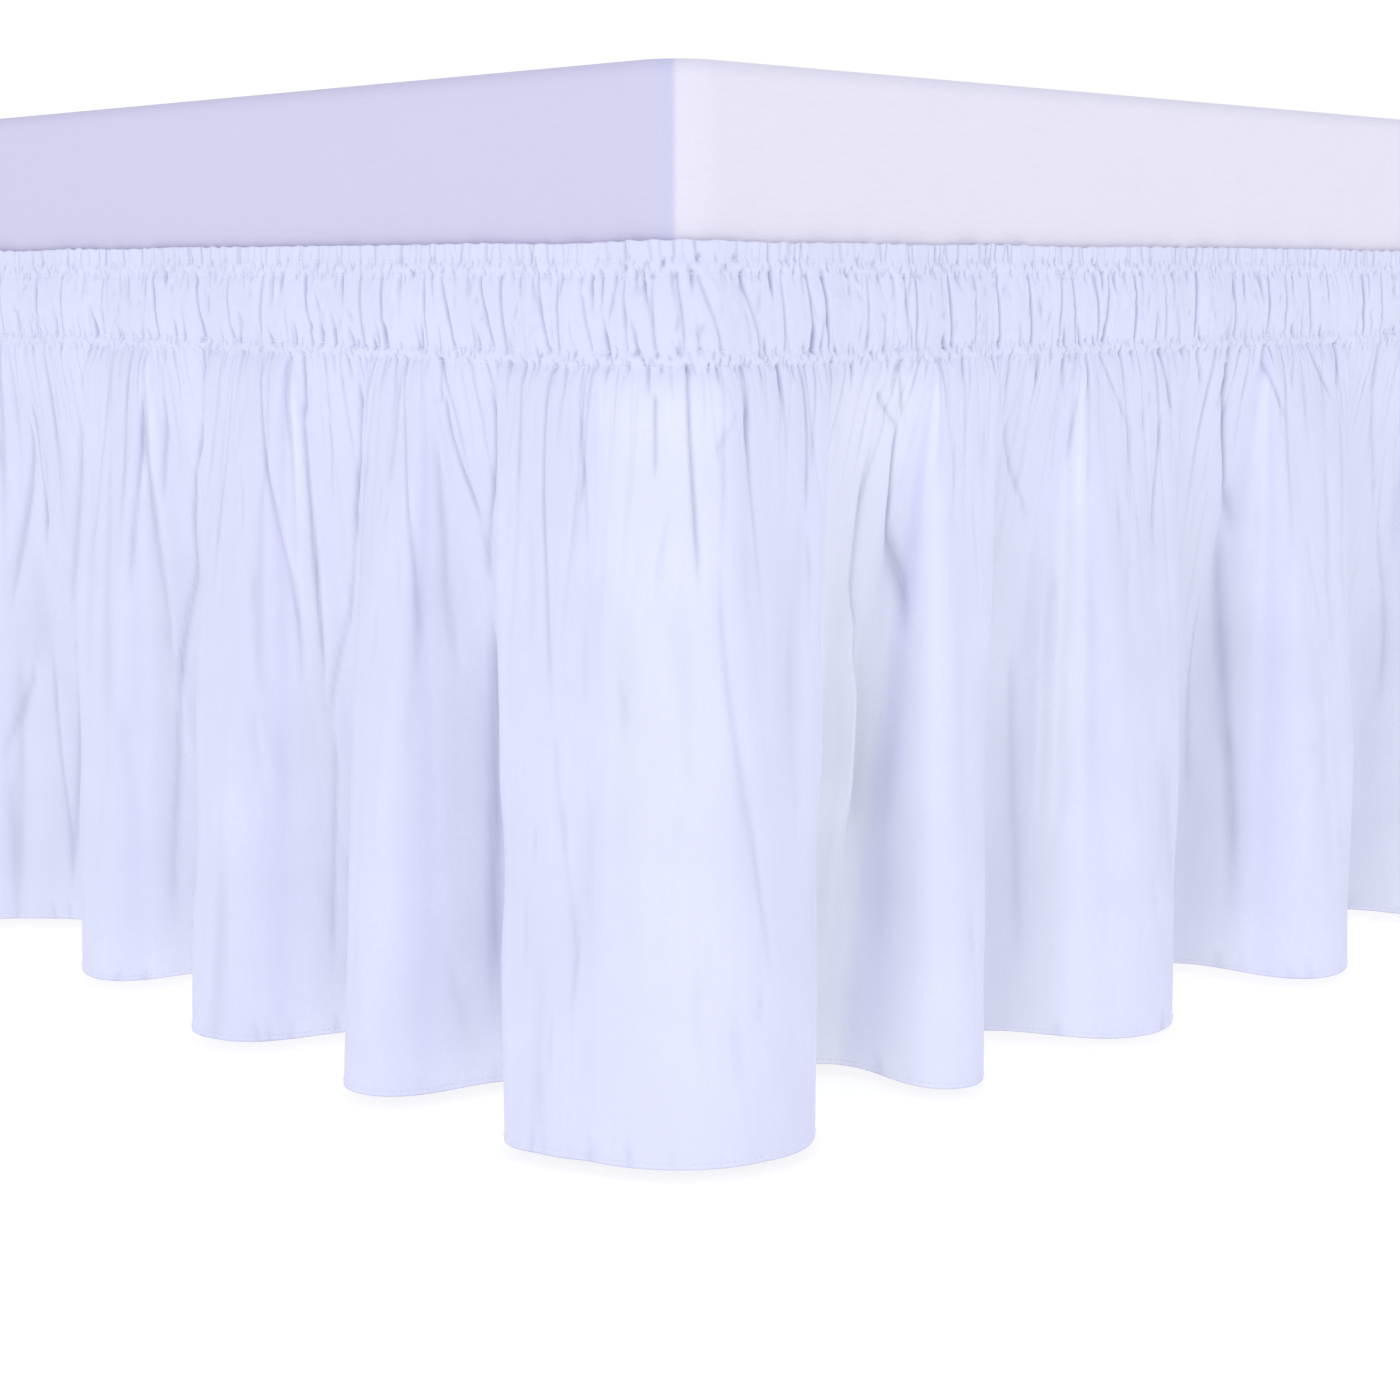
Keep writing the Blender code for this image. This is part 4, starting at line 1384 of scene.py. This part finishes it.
class BEDSKIRT_OT_cloth(bpy.types.Operator):
    """Build the gathered cloth of the skirt with its stitching"""

    bl_idname = "bedskirt.cloth"
    bl_label = "Build Skirt"

    def execute(self, context):
        settings = context.scene.bedskirt
        flanks = Flanks()
        lines = all_lines(flanks.head[0], flanks.head[-1], settings.crease_strength)
        cloth = Cloth(flanks, lines)
        finish = cloth_finish(settings.cloth_colour, settings.cloth_roughness)
        ends = [int(cloth.start[np.argmin(np.abs(flanks.head - place))])
                for place in CUTS] + [int(cloth.start[-1])]
        threads = self.add_stitches(cloth, settings.thread_colour)
        for name, start, end in zip(PIECES, ends, ends[1:]):
            points, normals, faces, places, shades = cloth.cut(start, end)
            mesh = grid_mesh(name, points, faces)
            mesh.normals_split_custom_set_from_vertices(normals.astype(np.float32))
            for label, values in ((CLOTH_PLACE, places), (FOLD_LIGHT, shades)):
                attribute = mesh.attributes.new(label, "FLOAT_VECTOR", "POINT")
                attribute.data.foreach_set("vector", values.astype(np.float32).ravel())
            piece = put(name, mesh, finish, "skirt")
            length = sheet_area(points, faces) / STRIP_HEIGHT
            threads = []
        return {"FINISHED"}

    def add_stitches(self, cloth, colour):
        finish = thread_finish(colour)
        seams = [stitch_line(*cloth.seam(height), SEAM_STITCH, SEAM_THREAD)
                 for height in SEAMS]
        hem = [stitch_line(*cloth.seam(HEM_Z + HEM_STITCH), HEM_STITCH_PITCH, HEM_THREAD)]
        return [put(name, stitch_mesh(name, lines), finish)
                for name, lines in (("heading_stitches", seams), ("hem_stitches", hem))]


class BEDSKIRT_OT_box_spring(bpy.types.Operator):
    """Upholster the box spring that the skirt fits round"""

    bl_idname = "bedskirt.box_spring"
    bl_label = "Build Box Spring"

    def execute(self, context):
        settings = context.scene.bedskirt_bed
        finish = ticking_finish(settings.end_shade_colour, settings.side_colour,
                                settings.corner_shade_colour)
        put("box_spring_cover", box_spring_mesh(), finish, "box_spring")
        return {"FINISHED"}


class BEDSKIRT_OT_legs(bpy.types.Operator):
    """Finish the six legs in wood"""

    bl_idname = "bedskirt.legs"
    bl_label = "Finish Legs"

    def execute(self, context):
        finish = wood_finish(context.scene.bedskirt_bed.wood_colour)
        for name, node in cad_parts.items():
            if name.startswith("leg_"):
                node.data.materials.clear()
                node.data.materials.append(finish)
        return {"FINISHED"}


class BEDSKIRT_OT_stage(bpy.types.Operator):
    """Set the floor, the soft light and the camera"""

    bl_idname = "bedskirt.stage"
    bl_label = "Set Stage"

    def execute(self, context):
        settings = context.scene.bedskirt_stage
        scene = context.scene
        scene.view_settings.view_transform = "Standard"
        scene.view_settings.look = "None"
        self.add_floor(settings.floor_colour)
        self.add_backdrop()
        self.add_sky(scene, settings.sky_strength)
        for name, power, place in LAMPS:
            self.add_lamp(scene, name, getattr(settings, power), place)
        self.add_camera(scene)
        return {"FINISHED"}

    def add_floor(self, colour):
        bm = bmesh.new()
        bmesh.ops.create_grid(bm, x_segments=1, y_segments=1, size=FLOOR_SIZE / 2)
        finish = Finish("floor_paint", base_color=(*colour, 1.0), roughness=0.9,
                        emission_color=WHITE, emission_strength=FLOOR_GLOW)
        stage_piece("floor", bm, finish)

    def add_backdrop(self):
        """A white dome that closes the view and lights nothing."""
        bm = bmesh.new()
        bmesh.ops.create_uvsphere(bm, u_segments=32, v_segments=16, radius=DOME_RADIUS)
        finish = Finish("backdrop_paint", base_color=BLACK, roughness=1.0,
                        emission_color=WHITE, emission_strength=1.0)
        dome = stage_piece("backdrop", bm, finish)
        for rays in ("diffuse", "glossy", "transmission", "volume_scatter", "shadow"):
            setattr(dome, "visible_" + rays, False)

    def add_sky(self, scene, strength):
        world = bpy.data.worlds.new("soft_sky")
        world.use_nodes = True
        background = world.node_tree.nodes["Background"]
        background.inputs["Color"].default_value = (*SKY_COLOUR, 1.0)
        background.inputs["Strength"].default_value = strength
        scene.world = world

    def add_lamp(self, scene, name, power, place):
        lamp = bpy.data.lights.new(name, "AREA")
        lamp.shape = "RECTANGLE"
        lamp.size = LAMP_SIZE
        lamp.size_y = LAMP_SIZE
        lamp.energy = power
        lamp.color = SKY_COLOUR
        obj = bpy.data.objects.new(name, lamp)
        scene.collection.objects.link(obj)
        obj.location = place
        aim = Vector(LAMP_AIM) - Vector(place)
        obj.rotation_euler = aim.to_track_quat("-Z", "Y").to_euler()

    def add_camera(self, scene):
        data = bpy.data.cameras.new("view")
        data.lens = CAMERA_LENS
        data.sensor_width = CAMERA_SENSOR
        data.clip_start = 0.01
        camera = bpy.data.objects.new("view", data)
        scene.collection.objects.link(camera)
        forward = Vector(CAMERA_HEADING).normalized()
        right = Vector((forward.y, -forward.x))
        corner = Vector((BOX_HIGH.x, BOX_LOW.y))
        spot = corner - forward * CAMERA_DISTANCE - right * CAMERA_ASIDE
        camera.location = (spot.x, spot.y, CAMERA_HEIGHT)
        dip = math.radians(CAMERA_PITCH)
        gaze = Vector((forward.x * math.cos(dip), forward.y * math.cos(dip), -math.sin(dip)))
        camera.rotation_euler = gaze.to_track_quat("-Z", "Y").to_euler()
        scene.camera = camera


class BEDSKIRT_PT_panel(bpy.types.Panel):
    """Sizes, colours and steps of the bed skirt"""

    bl_idname = "BEDSKIRT_PT_panel"
    bl_label = "Bed Skirt"
    bl_space_type = "VIEW_3D"
    bl_region_type = "UI"
    bl_category = "Bed Skirt"

    def draw(self, context):
        layout = self.layout
        for group in GROUPS:
            settings = getattr(context.scene, group)
            column = layout.column()
            for name in settings.__annotations__:
                column.prop(settings, name)
        for step in STEPS:
            layout.operator(step.bl_idname)


GROUPS = {"bedskirt": SkirtSettings, "bedskirt_bed": BedSettings,
          "bedskirt_stage": StageSettings}
STEPS = (BEDSKIRT_OT_cloth, BEDSKIRT_OT_box_spring, BEDSKIRT_OT_legs, BEDSKIRT_OT_stage)
CLASSES = (*GROUPS.values(), *STEPS, BEDSKIRT_PT_panel)


def register():
    for cls in CLASSES:
        bpy.utils.register_class(cls)
    for name, group in GROUPS.items():
        setattr(bpy.types.Scene, name, PointerProperty(type=group))


def unregister():
    for name in GROUPS:
        delattr(bpy.types.Scene, name)
    for cls in reversed(CLASSES):
        bpy.utils.unregister_class(cls)


def main():
    register()
    for step in STEPS:
        group, name = step.bl_idname.split(".")
        getattr(getattr(bpy.ops, group), name)()


if __name__ == "__main__":
    main()
